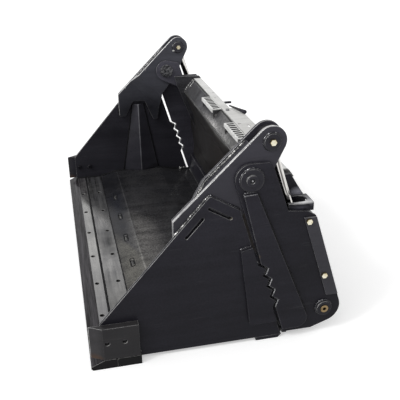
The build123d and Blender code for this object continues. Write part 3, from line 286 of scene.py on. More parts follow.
def mix_colour(tree, share, first, second):
    """Two colours mixed by a share."""
    made = node(tree, "ShaderNodeMix", {"Factor": share}, data_type="RGBA")
    for socket, value in zip((made.inputs[6], made.inputs[7]), (first, second)):
        set_socket(tree, socket, value if isinstance(value, bpy.types.NodeSocket) else (*value, 1.0))
    return made.outputs[2]


def scaled(colour, factor):
    """A colour made lighter or darker."""
    return [min(1.0, factor * part) for part in colour]


def dot(tree, first, second):
    """How far two directions agree."""
    return node(tree, "ShaderNodeVectorMath", {0: first, 1: second}, operation="DOT_PRODUCT").outputs["Value"]


def length(tree, vector):
    """The length of a vector."""
    return node(tree, "ShaderNodeVectorMath", {0: vector}, operation="LENGTH").outputs["Value"]


def edge_share(tree, place, radius, amount, hidden=0.10):
    """Share of wear and painted highlight, high where the surface turns within a small radius, broken up by
    noise.

    It is a painted highlight as much as wear. Edges that face neither up nor forward, away from the lamps,
    keep only the hidden share of it.
    """
    soft = node(tree, "ShaderNodeBevel", {"Radius": radius}, samples=EDGE_SAMPLES).outputs["Normal"]
    flat = node(tree, "ShaderNodeNewGeometry").outputs["True Normal"]
    turned_away = remap(tree, dot(tree, soft, flat), *EDGE_TURN)
    own = node(tree, "ShaderNodeVectorTransform", {"Vector": soft}, vector_type="NORMAL",
               convert_from="WORLD", convert_to="OBJECT").outputs["Vector"]
    open_side = remap(tree, dot(tree, own, LIT_AND_RUBBED_WAY), *EDGE_OPEN, hidden, 1.0)
    broken = remap(tree, noise(tree, place, *EDGE_CHIPS), *EDGE_BROKEN)
    worn_and_lit = times(tree, times(tree, turned_away, open_side), times(tree, broken, amount))
    return least(tree, worn_and_lit, 1.0)


def cut_share(tree, place, start, lean, side):
    """1 on one side of a line in the plan view and 0 on the other, ragged at the line.

    The line runs through the start (x, y) as X - x = lean * (Y - y). A side of 1 keeps what has the larger X.
    """
    across, depth, _ = split(tree, place)[:3]
    line = calc("MULTIPLY_ADD", tree, depth, lean)
    line.node.inputs[2].default_value = start[0] - lean * start[1]
    ragged = remap(tree, noise(tree, place, *CUT_RAGS), *CUT_NOISE, -CUT_RAGGED, CUT_RAGGED)
    past = plus(tree, less(tree, across, line), ragged)
    return remap(tree, past, -CUT_SOFT * side, CUT_SOFT * side)


def patch_share(tree, place, centre, reach, strength, cuts=()):
    """Share of a spot with a ragged outline.

    It is the strength at the centre and falls to 0 at the reach along each axis; lines may cut it off.
    """
    moved = node(tree, "ShaderNodeMapping", {
        "Vector": place, "Scale": [1 / part for part in reach],
        "Location": [-middle / part for middle, part in zip(centre, reach)]}).outputs["Vector"]
    far = plus(tree, length(tree, moved), times(tree, noise(tree, place, *PATCH_RAGS), PATCH_RAGGED))
    share = remap(tree, far, 1.0 + 0.5 * PATCH_RAGGED, PATCH_CORE + 0.5 * PATCH_RAGGED, 0.0, strength)
    for line in cuts:
        share = times(tree, share, cut_share(tree, place, *line))
    return share


def rubbed_patches(tree, place, colours, patches):
    """Spots laid over a colour, each (centre, reach, colour, strength) and the lines that cut it off."""
    for centre, reach, colour, strength, *cuts in patches:
        share = patch_share(tree, place, centre, reach, strength, cuts)
        colours = mix_colour(tree, share, colours, colour)
    return colours


def grain_bump(tree, heights, distance, strength):
    """Bump from a height value."""
    made = node(tree, "ShaderNodeBump", {"Height": heights, "Distance": distance, "Strength": strength})
    return made.outputs["Normal"]


# Paint colours
BLACK = (0.0200, 0.0193, 0.0255)
# Black of faces turned to the bucket's middle, painted lighter: painted light for the light they get
LIT_INNER_BLACK = (0.034, 0.033, 0.041)
# Near-black painted shade for the recessed box backs and block bolts
RECESS_SHADE_BLACK = (0.0042, 0.0040, 0.0070)
BARE_AND_GLINT = (0.50, 0.495, 0.49)
DUST = (0.20, 0.19, 0.18)

# Sprayed paint: ranges over which each share grows from 0 to 1, then how much of it is laid on
STREAKS_SEEN = (0.35, 0.68)
SCUFFS_SEEN = (0.60, 0.78)
INNER_FACES = (-0.05, -0.45)
# Heights over which the colour is painted lighter, a painted sheen
SHEEN_HEIGHTS = (0.25, 0.75)
DUST_SLOPE = (0.35, 0.95)
# Painted rim highlight: how narrow the face, how far it looks ahead, and how patchy
RIM_NARROW = (0.85, 0.45)
RIM_AHEAD = (0.35, 0.70)
RIM_SEEN = (0.34, 0.60)
RIM_LEAST = 0.35
GLINT_AND_WEAR_GAIN = 5.0
CLOUD_SHARE = 0.5
STREAK_SHARE = 0.25
SHADE_SPREAD = 0.20
DIM_PAINT = 0.3
SCUFF_SHARE = 0.05
SCUFF_ROUGH = 0.12
DUST_ROUGH = 0.25
WORN_AND_LIT_METAL = 0.6


def rim_highlight_share(tree, place, turn, rim_highlight):
    """Painted highlight, as bare metal in patches on narrow faces that look up and forward, up to the given
    share.
    """
    narrow = remap(tree, unsigned(tree, turn["X"]), *RIM_NARROW)
    ahead = remap(tree, dot(tree, own_way(tree), LIT_AND_RUBBED_WAY), *RIM_AHEAD)
    patchy = remap(tree, noise(tree, place, *RIM_CHIPS), *RIM_SEEN, RIM_LEAST * rim_highlight, rim_highlight)
    return times(tree, times(tree, narrow, ahead), patchy)


def paint(name, colour, gloss, specular, wear_and_glint, dust_and_sheen, inner=LIT_INNER_BLACK, patches=(), top_sheen=1.7, bare_and_glint=BARE_AND_GLINT,
          dust_and_sheen_colour=DUST, dust_cover=(0.40, 0.75), hidden=0.10, grainy=0.3, radius=0.0028, rim_highlight=0.0,
          mottle=0.45, glint_and_wear_zone=None):
    """Sprayed paint over rolled plate.

    The colour is painted lighter from foot to top, a painted sheen, and is clouded. Faces turned to the
    bucket's middle take the inner colour, mostly a lighter one painted for the light they get. Faint streaks
    run along the plate. Edges that face up and forward, towards the lamps, are worn and painted as
    highlights, and dust settles on upward faces; on the flanges the pale dust is also a painted sheen. The
    rim highlight is the share of bare metal, a painted highlight, on the plate's narrow faces that look up
    and forward. Edges inside the zone of wear and glints, a (centre, reach), are worn and lit a set number of
    times as much.
    """
    material, tree, shader, place = new_finish(name)
    across, _, height = split(tree, place)[:3]
    turn = facing(tree)
    cloud = noise(tree, place, *CLOUDS)
    streaks = remap(tree, noise(tree, place, *ROLLING_STREAKS), *STREAKS_SEEN)
    scuffs = remap(tree, noise(tree, place, *SCUFFS), *SCUFFS_SEEN)
    grain = noise(tree, place, *PAINT_GRAIN)
    worn_and_lit = edge_share(tree, place, radius, wear_and_glint, hidden)
    if glint_and_wear_zone:
        more = remap(tree, patch_share(tree, place, *glint_and_wear_zone, 1.0), 0.0, 1.0, 1.0, GLINT_AND_WEAR_GAIN)
        worn_and_lit = least(tree, times(tree, worn_and_lit, more), 1.0)
    cover = remap(tree, noise(tree, place, *DUST_DRIFTS), *dust_cover)
    settled = times(tree, remap(tree, turn["Z"], *DUST_SLOPE), cover)
    # Painted sheen: the colour and the inner colour grow lighter from foot to top
    high = remap(tree, height, *SHEEN_HEIGHTS)
    # Faces turned to the middle take the inner colour, which is painted light
    inward = remap(tree, times(tree, across, turn["X"]), *INNER_FACES)
    colours = mix_colour(tree, high, colour, scaled(colour, top_sheen))
    colours = mix_colour(tree, inward, colours, mix_colour(tree, high, inner, scaled(inner, top_sheen)))
    colours = rubbed_patches(tree, place, colours, patches)
    shade = plus(tree, times(tree, cloud, CLOUD_SHARE), times(tree, streaks, STREAK_SHARE))
    shade = plus(tree, shade, times(tree, grain, grainy))
    middle = (CLOUD_SHARE + STREAK_SHARE + grainy) / 2
    dim = remap(tree, shade, middle - SHADE_SPREAD, middle + SHADE_SPREAD, mottle, 0.0)
    colours = mix_colour(tree, dim, colours, scaled(colour, DIM_PAINT))
    colours = mix_colour(tree, times(tree, scuffs, SCUFF_SHARE), colours, bare_and_glint)
    colours = mix_colour(tree, times(tree, settled, dust_and_sheen), colours, dust_and_sheen_colour)
    if rim_highlight:
        worn_and_lit = most(tree, worn_and_lit, rim_highlight_share(tree, place, turn, rim_highlight))
    rough = plus(tree, remap(tree, cloud, *MIDDLE_NOISE, *gloss), times(tree, scuffs, SCUFF_ROUGH))
    give(tree, shader, colour=mix_colour(tree, worn_and_lit, colours, bare_and_glint),
         rough=plus(tree, rough, times(tree, settled, DUST_ROUGH * dust_and_sheen)),
         metal=times(tree, worn_and_lit, WORN_AND_LIT_METAL),
         bump=grain_bump(tree, noise(tree, place, *ORANGE_PEEL), *PAINT_BUMP), specular=specular)
    return material


# Tread paint: how far from the tread's ends and past the slots the painted shade grows, and the paint's
# shades
SLOT_WALLS = (0.002, 0.003)
SLOT_ENDS = (0.004, 0.005)
SLOT_SHADE = (0.0020, 0.0005)
UNDERSIDE = (-0.3, -0.6)
SPECKLE_SEEN = (0.35, 0.65)
SPECKLE_SHADES = (0.75, 1.12)
TREAD_GLOSS = (0.55, 0.38)
TREAD_SPECULAR = 0.1


def slotted_paint(name, colour, grime_and_shade):
    """Pale tread paint with black painted shade underneath, behind, and in and round the slots.

    Slot walls face along X between the tread's ends. The slots' middles lie at odd half pitches from the
    tread's middle, so the distance from the nearest one is a zigzag of X.
    """
    material, tree, shader, place = new_finish(name)
    across = unsigned(tree, split(tree, place)["X"])
    turn = facing(tree)
    from_end = least(tree, less(tree, across, TREAD_ENDS[0]), less(tree, TREAD_ENDS[1], across))
    wall = times(tree, remap(tree, unsigned(tree, turn["X"]), *SIDEWAYS), remap(tree, from_end, *SLOT_WALLS))
    under = most(tree, remap(tree, turn["Z"], *UNDERSIDE), remap(tree, turn["Y"], *SIDEWAYS))
    step = calc("DIVIDE", tree, less(tree, across, sum(TREAD_ENDS) / 2), TREAD_SLOT_PITCH)
    aside = times(tree, calc("PINGPONG", tree, plus(tree, step, 0.5), 0.5), TREAD_SLOT_PITCH)
    ahead = unsigned(tree, less(tree, split(tree, place)["Y"], TREAD_SLOT_Y))
    in_slot = times(tree, *(remap(tree, off, *(reach + past for past in SLOT_SHADE))
                            for off, reach in zip((aside, ahead), TREAD_SLOT_REACH)))
    in_slot = times(tree, in_slot, remap(tree, from_end, *SLOT_ENDS))
    dark = most(tree, most(tree, wall, under), in_slot)
    speckle = remap(tree, noise(tree, place, *TREAD_SPECKLE), *SPECKLE_SEEN)
    colours = mix_colour(tree, speckle, *(scaled(colour, shade) for shade in SPECKLE_SHADES))
    give(tree, shader, colour=mix_colour(tree, dark, colours, grime_and_shade),
         rough=remap(tree, speckle, 0.0, 1.0, *TREAD_GLOSS),
         bump=grain_bump(tree, noise(tree, place, *ORANGE_PEEL), *TREAD_BUMP), specular=TREAD_SPECULAR)
    return material


# Cutting edge: shares of its noises, ranges over which each look grows, and shades of its nose
STEEL_STREAKS = 0.55
STEEL_GRIME = 0.45
FLAT_TOP = (0.950, 0.985)
STEEL_BRIGHT = (0.38, 0.60)
STEEL_GLOSSY = (0.36, 0.62)
STEEL_METAL = (0.36, 0.58, 0.35, 0.9)
STEEL_SPECULAR = 0.08
NOSE_SEEN = (0.42, 0.66)
NOSE_SLOPE = (0.5, 0.9)
NOSE_SHADES = (0.3, 2.4)
EDGE_WEAR_AND_GLINT = {"radius": 0.0030, "amount": 0.55}
WORN_AND_LIT_STEEL = 1.7
STREAK_HEIGHT = 0.6


def edge_steel(name, bright, dull, nose, gloss, painted, patches=()):
    """Cutting edge: steel rubbed bright on its flat top, dark at the nose, the ends and the hole walls.

    Streaks run along X, and the flat top is picked out by the surface's direction; its light colour is also a
    painted reflection. On the shaded spots, each (centre, reach, strength) and the lines that cut it off, the
    dark nose colour is laid as painted shade.
    """
    material, tree, shader, place = new_finish(name)
    turn = facing(tree)
    streaks = noise(tree, place, *EDGE_STREAKS)
    grime_and_shade = noise(tree, place, *EDGE_GRIME)
    pits = noise(tree, place, *EDGE_PITS)
    share = plus(tree, times(tree, streaks, STEEL_STREAKS), times(tree, grime_and_shade, STEEL_GRIME))
    flat = remap(tree, turn["Z"], *FLAT_TOP)
    # Painted shade: on these spots the dark nose colour covers the bright top
    for centre, reach, strength, *cuts in painted:
        left = patch_share(tree, place, centre, reach, strength, cuts)
        flat = times(tree, flat, less(tree, 1.0, left))
    colours = mix_colour(tree, remap(tree, share, *STEEL_BRIGHT), dull, bright)
    colours = rubbed_patches(tree, place, colours, patches)
    fine = remap(tree, noise(tree, place, *NOSE_SCRATCHES), *NOSE_SEEN)
    # The nose's scratches are painted lighter where it slopes up: a painted highlight on them
    lit = times(tree, fine, remap(tree, turn["Z"], *NOSE_SLOPE))
    dark = mix_colour(tree, lit, *(scaled(nose, shade) for shade in NOSE_SHADES))
    colours = mix_colour(tree, flat, dark, colours)
    worn_and_lit = edge_share(tree, place, **EDGE_WEAR_AND_GLINT)
    height = plus(tree, pits, times(tree, streaks, STREAK_HEIGHT))
    give(tree, shader, colour=mix_colour(tree, worn_and_lit, colours, scaled(bright, WORN_AND_LIT_STEEL)),
         rough=remap(tree, share, *STEEL_GLOSSY, *gloss[::-1]),
         metal=times(tree, flat, remap(tree, share, *STEEL_METAL)),
         bump=grain_bump(tree, height, *STEEL_BUMP), specular=STEEL_SPECULAR)
    return material


# Plated metal: ranges in which the tint shows, and how far the roughness drifts
TINT_SEEN = (0.45, 0.75)
TINT_CORNERS = (0.97, 0.80)
PLATING_ROUGH = (0.7, 1.4)


def plated(name, colour, tint, rough):
    """Plated or turned metal with a drifting tint and fine turning marks; faces that don't look along X show
    the tint.
    """
    material, tree, shader, place = new_finish(name)
    drift = noise(tree, place, *PLATING_DRIFT)
    flat = unsigned(tree, facing(tree)["X"])
    share = most(tree, remap(tree, drift, *TINT_SEEN), remap(tree, flat, *TINT_CORNERS))
    give(tree, shader, colour=mix_colour(tree, share, colour, tint),
         rough=remap(tree, drift, *MIDDLE_NOISE, *(rough * drifted for drifted in PLATING_ROUGH)), metal=1.0,
         bump=grain_bump(tree, noise(tree, place, *TURNING_MARKS), *PLATING_BUMP))
    return material


# Chromed rod: stretch of its streaks, ranges in which they and the oil show, and roughness of rod and eye
REFLECTION_STRETCH = (1.0, 1.0, 30.0)
REFLECTION_SEEN = (0.44, 0.54)
FILM_SEEN = (0.4, 0.7)
EYE_EDGE = (0.0005, 0.0015)
EYE_SHADE = 2.0
EYE_ROUGH = 0.20
CHROME_GLOSS = (0.08, 0.20)
CHROME_SPECULAR = 0.2


def chromed(name, bright, dark, eye_paint):
    """Chromed rod: bright metal with darker streaks along its own leaning axis, painted reflections, and
    paint on its eye.

    The eye is what lies within EYE_R of the rod pin's axis.
    """
    material, tree, shader, place = new_finish(name)
    along = node(tree, "ShaderNodeMapping", {"Vector": place, "Rotation": (np.radians(ROD_LEAN), 0.0, 0.0),
                                             "Scale": REFLECTION_STRETCH}, vector_type="TEXTURE").outputs["Vector"]
    streaks = noise(tree, along, *REFLECTION_STREAKS)
    film = noise(tree, place, *OIL_FILM)
    aside = node(tree, "ShaderNodeMapping", {"Vector": place, "Location": (0.0, -ROD_PIN[0], -ROD_PIN[1]),
                                             "Scale": (0.0, 1.0, 1.0)}).outputs["Vector"]
    rod = remap(tree, length(tree, aside), *(EYE_R + past for past in EYE_EDGE))
    # Painted reflections: the metal is darker along stripes that run down the rod
    metal = mix_colour(tree, remap(tree, streaks, *REFLECTION_SEEN), dark, bright)
    painted = mix_colour(tree, remap(tree, film, *FILM_SEEN), eye_paint, scaled(eye_paint, EYE_SHADE))
    polish = remap(tree, film, *MIDDLE_NOISE, *CHROME_GLOSS)
    give(tree, shader, colour=mix_colour(tree, rod, painted, metal), metal=rod,
         rough=plus(tree, polish, remap(tree, rod, 0.0, 1.0, EYE_ROUGH, 0.0)),
         bump=grain_bump(tree, streaks, *CHROME_BUMP), specular=CHROME_SPECULAR)
    return material


# Weld metal and rubber: ranges in which their looks show, and how far the roughness and shade drift
WELD_OPEN = (0.25, 0.75)
WELD_ROUGH = (0.7, 1.3)
SPECK_SOFT = 0.07
SPECK_METAL = 0.7
BLOOM_SEEN = (0.4, 0.8)
BLOOM_SHADE = 3.0
RUBBER_GLOSS = (0.35, 0.55)


def weld_metal(name, colour, bright, speck, rough, specular, hidden=0.0):
    """Painted weld bead: glossy ripples, with bare specks where two noises together pass the speck level.

    The specks are painted glints on bare metal: they lie on the sides that face up and forward, towards the
    lamps;
    elsewhere only the hidden share of them is left.
    """
    material, tree, shader, place = new_finish(name)
    lumps = noise(tree, place, *WELD_LUMPS)
    specks = noise(tree, place, *WELD_SPECKS)
    open_side = remap(tree, dot(tree, own_way(tree), LIT_AND_RUBBED_WAY), *WELD_OPEN, hidden, 1.0)
    share = times(tree, remap(tree, times(tree, lumps, specks), speck, speck + SPECK_SOFT), open_side)
    give(tree, shader, colour=mix_colour(tree, share, colour, bright),
         rough=remap(tree, lumps, *MIDDLE_NOISE, *(rough * drifted for drifted in WELD_ROUGH)),
         metal=times(tree, share, SPECK_METAL),
         bump=grain_bump(tree, specks, *WELD_BUMP), specular=specular)
    return material


def moulded_rubber(name, colour):
    """Black hose rubber with a faint bloom."""
    material, tree, shader, place = new_finish(name)
    bloom = noise(tree, place, *RUBBER_BLOOM)
    pale = remap(tree, bloom, *BLOOM_SEEN)
    give(tree, shader, colour=mix_colour(tree, pale, colour, scaled(colour, BLOOM_SHADE)),
         rough=remap(tree, bloom, *MIDDLE_NOISE, *RUBBER_GLOSS),
         bump=grain_bump(tree, noise(tree, place, *RUBBER_GRAIN), *RUBBER_BUMP))
    return material


def mirrored(*patches):
    """Spots given on the bucket's left, each put on both sides."""
    return [((side * x, y, z), *rest) for (x, y, z), *rest in patches for side in BOTH_SIDES]


# Spots on the paint: centre, reach along each axis, colour, strength, and lines that cut it off. Some are
# rubbed, dusty, grimy and rusty spots; many are painted reflections, highlights and shade, as said above each
# Floor: the grey, light and yellowish zones towards the middle and the near end are painted reflections, cut
# off by slanted lines; the blue zone and the dark far end are painted shade
GREY_FLOOR = (0.095, 0.092, 0.096)
LIGHT_FLOOR = (0.230, 0.222, 0.214)
BLUE_FLOOR = (0.016, 0.018, 0.027)
YELLOWISH_FLOOR_REFLECTION = (0.160, 0.154, 0.136)
DARK_FLOOR = (0.012, 0.012, 0.015)
BEND_CUT = ((-0.050, -0.268), 2.7, 1)
LIGHT_CUT = ((-0.250, -0.184), 0.9, 1)
FLOOR_PATCHES = [
    ((0.10, -0.13, 0.05), (0.75, 0.20, 0.30), GREY_FLOOR, 0.80),
    ((0.05, -0.165, 0.05), (0.55, 0.11, 0.30), LIGHT_FLOOR, 0.85, LIGHT_CUT),
    ((-0.25, -0.231, 0.05), (0.75, 0.060, 0.30), BLUE_FLOOR, 1.0),
    ((0.24, -0.235, 0.05), (0.60, 0.10, 0.30), YELLOWISH_FLOOR_REFLECTION, 0.95, BEND_CUT),
    ((0.62, -0.250, 0.05), (0.22, 0.10, 0.30), GREY_FLOOR, 0.8),
    ((-0.66, -0.24, 0.05), (0.22, 0.12, 0.30), DARK_FLOOR, 0.90),
    # Painted highlights along the floor's bend
    ((0.0, FLOOR_BEND_Y, 0.058), (0.90, 0.005, 0.30), (0.17, 0.17, 0.17), 0.55),
    ((0.30, FLOOR_BEND_Y, 0.058), (0.40, 0.006, 0.30), (0.36, 0.35, 0.33), 0.80),
]
RUST = (0.120, 0.062, 0.030)
BLOCK_PATCHES = mirrored(
    ((0.838, -0.448, 0.10), (0.034, 0.042, 0.20), (0.085, 0.081, 0.085), 0.85),
    ((0.835, -0.440, 0.040), (0.05, 0.04, 0.022), RUST, 0.75),
)
CHIP_PATCHES = [((SIDE_OUT, 0.041, 0.5005), (0.020, 0.0065, 0.0065), (0.42, 0.34, 0.16), 0.95)]
# Teeth: a zone where edges are worn and painted with glints several times as much
TOOTH_ZONE = ((0.0, 0.192, 0.230), (4.0, 0.050, 0.110))
STRIP_PATCHES = [((TOOTH_OUT, 0.130, 0.352), (0.02, 0.014, 0.010), (0.16, 0.12, 0.07), 0.7)]
# Painted shade: near-black under the treads, under the lip's front edge and on the lip's front face
PAINTED_SHADE_BLACK = (0.004, 0.004, 0.005)
# Beam: painted reflections, lighter most towards the near end and in a band along its low edge; small light
# spots at the tread ends; and painted shade under the treads and the lip
BEAM_PATCHES = [
    ((-0.25, 0.222, 0.555), (0.60, 0.30, 0.30), (0.150, 0.150, 0.158), 0.85),
    ((-0.04, 0.198, 0.526), (0.28, 0.030, 0.036), (0.720, 0.700, 0.690), 0.95),
    ((0.45, 0.222, 0.555), (0.60, 0.30, 0.30), (0.390, 0.382, 0.372), 0.85),
    *mirrored(((0.206, 0.236, 0.573), (0.20, 0.05, 0.06), PAINTED_SHADE_BLACK, 1.0)),
    ((0.0, 0.247, 0.587), (3.0, 0.011, 0.012), PAINTED_SHADE_BLACK, 0.95),
    *(((x, 0.226, 0.557), (0.004, 0.010, 0.011), (0.60, 0.59, 0.57), 0.95)
      for x in (-TREAD_ENDS[0], TREAD_ENDS[1])),
]
MOLDBOARD_PATCHES = [
    ((0.10, 0.21, 0.22), (0.60, 0.20, 0.34), (0.030, 0.024, 0.020), 0.9),
    ((-0.02, 0.19, 0.510), (0.30, 0.03, 0.05), (0.460, 0.445, 0.430), 0.9),
    ((0.08, 0.18, 0.500), (0.10, 0.012, 0.010), (0.500, 0.490, 0.480), 0.8),
]
# Cutting edges: painted shade on the far ends up to slanted lines, and on a zone of the base edge
FAR_END_SHADE = ((-0.90, -0.36, 0.035), (1.40, 0.80, 0.80), 0.97)
EDGE_SHADE = [(*FAR_END_SHADE, ((-0.545, -0.400), 3.9, -1))]
BASE_SHADE = [(*FAR_END_SHADE, ((-0.390, -0.353), 1.3, -1)), ((-0.01, -0.312, 0.035), (0.17, 0.06, 0.20), 0.85)]
EDGE_PATCHES = [((0.75, -0.385, 0.035), (0.80, 0.20, 0.20), (0.18, 0.177, 0.185), 0.75)]
BASE_PATCHES = [((0.66, -0.318, 0.035), (0.42, 0.20, 0.20), (0.105, 0.104, 0.100), 0.85)]
# Flanges: painted highlights and reflections, light on the tops and bluish on the outer lip
FLANGE_HIGHLIGHTS = mirrored(
    ((0.776, 0.322, 0.522), (0.040, 0.016, 0.02), (0.22, 0.22, 0.25), 0.90),
    ((0.801, 0.284, 0.506), (0.01, 0.034, 0.010), (0.060, 0.060, 0.078), 0.9),
    ((0.795, 0.302, 0.523), (0.022, 0.050, 0.008), (0.95, 0.95, 0.97), 1.0),
)
# Rear inner plates: a painted reflection, light grey just above the flange
REAR_REFLECTION = mirrored(((0.729, 0.302, 0.531), (0.02, 0.036, 0.024), (0.480, 0.480, 0.550), 1.0))
# Stiffeners: a painted highlight along the ridge
RIDGE_HIGHLIGHT = [((0.0, -0.0425, 0.27), (3.0, 0.0045, 0.60), (0.26, 0.26, 0.28), 0.95)]
FACE_PATCHES = mirrored(
    ((0.40, 0.33, 0.36), (0.20, 0.30, 0.26), (0.085, 0.083, 0.085), 0.75),
    ((0.40, 0.29, 0.50), (0.26, 0.05, 0.05), (0.22, 0.215, 0.21), 0.65),
    ((0.53, 0.42, 0.165), (0.10, 0.06, 0.05), (0.24, 0.235, 0.23), 0.75),
)
# Dark spots on the lip
LIP_DARK_SPOTS = [(-0.381, 0.280), (-0.284, 0.265), (0.139, 0.261), (0.174, 0.293)]
LIP_PATCHES = [
    ((0.25, 0.29, 0.590), (0.50, 0.20, 0.20), (0.70, 0.695, 0.670), 0.8),
    ((0.0, 0.2478, 0.583), (3.0, 0.0035, 0.010), PAINTED_SHADE_BLACK, 1.0),
    *(((*chip, 0.590), (0.009, 0.006, 0.010), (0.05, 0.05, 0.05), 0.9) for chip in LIP_DARK_SPOTS),
]
# Arm feet: painted shade below the joggle
ARM_FOOT_SHADE = mirrored(((0.78, -0.03, 0.41), (0.30, 0.25, 0.10), (0.016, 0.016, 0.020), 0.85))

# Finishes of the bucket's pieces
# Pale paint of the lip, bracket and treads, painted light enough to stand for a bright reflection on them as
# well
PALE = (0.82, 0.82, 0.805)
TREAD = (0.80, 0.80, 0.785)
PLATE_PAINT = dict(gloss=(0.28, 0.42), specular=0.09, dust_and_sheen=0.05)
BRUSHED_PAINT = dict(PLATE_PAINT, grainy=0.7, mottle=0.55)
# Arms: the inner colour is lighter, painted light on the faces turned inward
ARM_PAINT = dict(colour=(0.0205, 0.0198, 0.0252), inner=(0.037, 0.0375, 0.045), gloss=(0.24, 0.36),
                 specular=0.16, dust_and_sheen=0.06, patches=ARM_FOOT_SHADE, top_sheen=2.7, radius=0.0040)
PAINTS = {
    "black": dict(PLATE_PAINT, colour=BLACK, wear_and_glint=0.70),
    "rear": dict(BRUSHED_PAINT, colour=scaled(BLACK, 0.86), inner=scaled(LIT_INNER_BLACK, 2.0), wear_and_glint=0.70,
                 patches=REAR_REFLECTION),
    # Box backs and block bolts: near-black, painted shade
    "box": dict(colour=RECESS_SHADE_BLACK, inner=RECESS_SHADE_BLACK, gloss=(0.12, 0.22), specular=0.35, wear_and_glint=0.30, dust_and_sheen=0.03,
                top_sheen=1.0),
    "arm": dict(ARM_PAINT, wear_and_glint=1.6),
    # Arm plates that take a painted rim highlight and brighter painted edge highlights
    "arm_with_rim_highlight": dict(ARM_PAINT, wear_and_glint=2.0, bare_and_glint=(0.66, 0.655, 0.65), rim_highlight=0.95),
    "side": dict(BRUSHED_PAINT, colour=BLACK, wear_and_glint=1.60, patches=CHIP_PATCHES),
    "tooth": dict(BRUSHED_PAINT, colour=BLACK, wear_and_glint=0.40, glint_and_wear_zone=TOOTH_ZONE),
    "strip": dict(BRUSHED_PAINT, colour=BLACK, wear_and_glint=0.70, patches=STRIP_PATCHES, bare_and_glint=(0.70, 0.70, 0.71),
                  radius=0.0055, glint_and_wear_zone=TOOTH_ZONE),
    "cap": dict(colour=scaled(BLACK, 0.9), gloss=(0.18, 0.28), specular=0.14, wear_and_glint=1.10, dust_and_sheen=0.05),
    "floor": dict(colour=(0.030, 0.030, 0.033), gloss=(0.14, 0.26), specular=0.10, wear_and_glint=0.5, dust_and_sheen=0.06,
                  patches=FLOOR_PATCHES, top_sheen=1.0, grainy=1.2, mottle=0.8),
    "moldboard": dict(colour=(0.030, 0.028, 0.028), gloss=(0.30, 0.42), specular=0.10, wear_and_glint=0.4, dust_and_sheen=0.05,
                      patches=MOLDBOARD_PATCHES, top_sheen=1.2, grainy=1.0, mottle=0.7),
    "beam": dict(colour=(0.050, 0.050, 0.053), gloss=(0.26, 0.40), specular=0.20, wear_and_glint=0.9, dust_and_sheen=0.20,
                 patches=BEAM_PATCHES, top_sheen=1.0, grainy=1.2, mottle=0.88),
    "block": dict(colour=(0.030, 0.0288, 0.0310), gloss=(0.26, 0.40), specular=0.12, wear_and_glint=1.0, dust_and_sheen=0.08,
                  patches=BLOCK_PATCHES),
    "face": dict(colour=(0.034, 0.033, 0.038), gloss=(0.26, 0.44), specular=0.15, wear_and_glint=1.2, dust_and_sheen=0.05,
                 patches=FACE_PATCHES, top_sheen=1.0, hidden=0.8, grainy=0.8, mottle=0.6),
    "cover": dict(colour=(0.050, 0.049, 0.058), gloss=(0.26, 0.40), specular=0.12, wear_and_glint=0.9, dust_and_sheen=0.08),
    # Flanges: the pale dust on their tops is also a painted sheen
    "flange": dict(colour=(0.010, 0.010, 0.016), gloss=(0.16, 0.26), specular=0.12, wear_and_glint=1.2, dust_and_sheen=0.15,
                   patches=FLANGE_HIGHLIGHTS, top_sheen=1.0, dust_and_sheen_colour=(0.70, 0.70, 0.71), dust_cover=(0.20, 0.50),
                   mottle=0.25),
    "stiffener": dict(colour=BLACK, inner=scaled(LIT_INNER_BLACK, 1.25), gloss=(0.26, 0.38), specular=0.12,
                      wear_and_glint=0.50, dust_and_sheen=0.05, patches=RIDGE_HIGHLIGHT, bare_and_glint=(0.22, 0.22, 0.25), hidden=0.3,
                      radius=0.0050),
    "pale": dict(colour=PALE, inner=PALE, gloss=(0.40, 0.55), specular=0.4, wear_and_glint=0.8, dust_and_sheen=0.2,
                 patches=LIP_PATCHES, top_sheen=1.0, bare_and_glint=(0.32, 0.31, 0.30), dust_and_sheen_colour=(0.40, 0.39, 0.37)),
}
FINISHES = {name: paint(f"{name}_paint", **look) for name, look in PAINTS.items()}
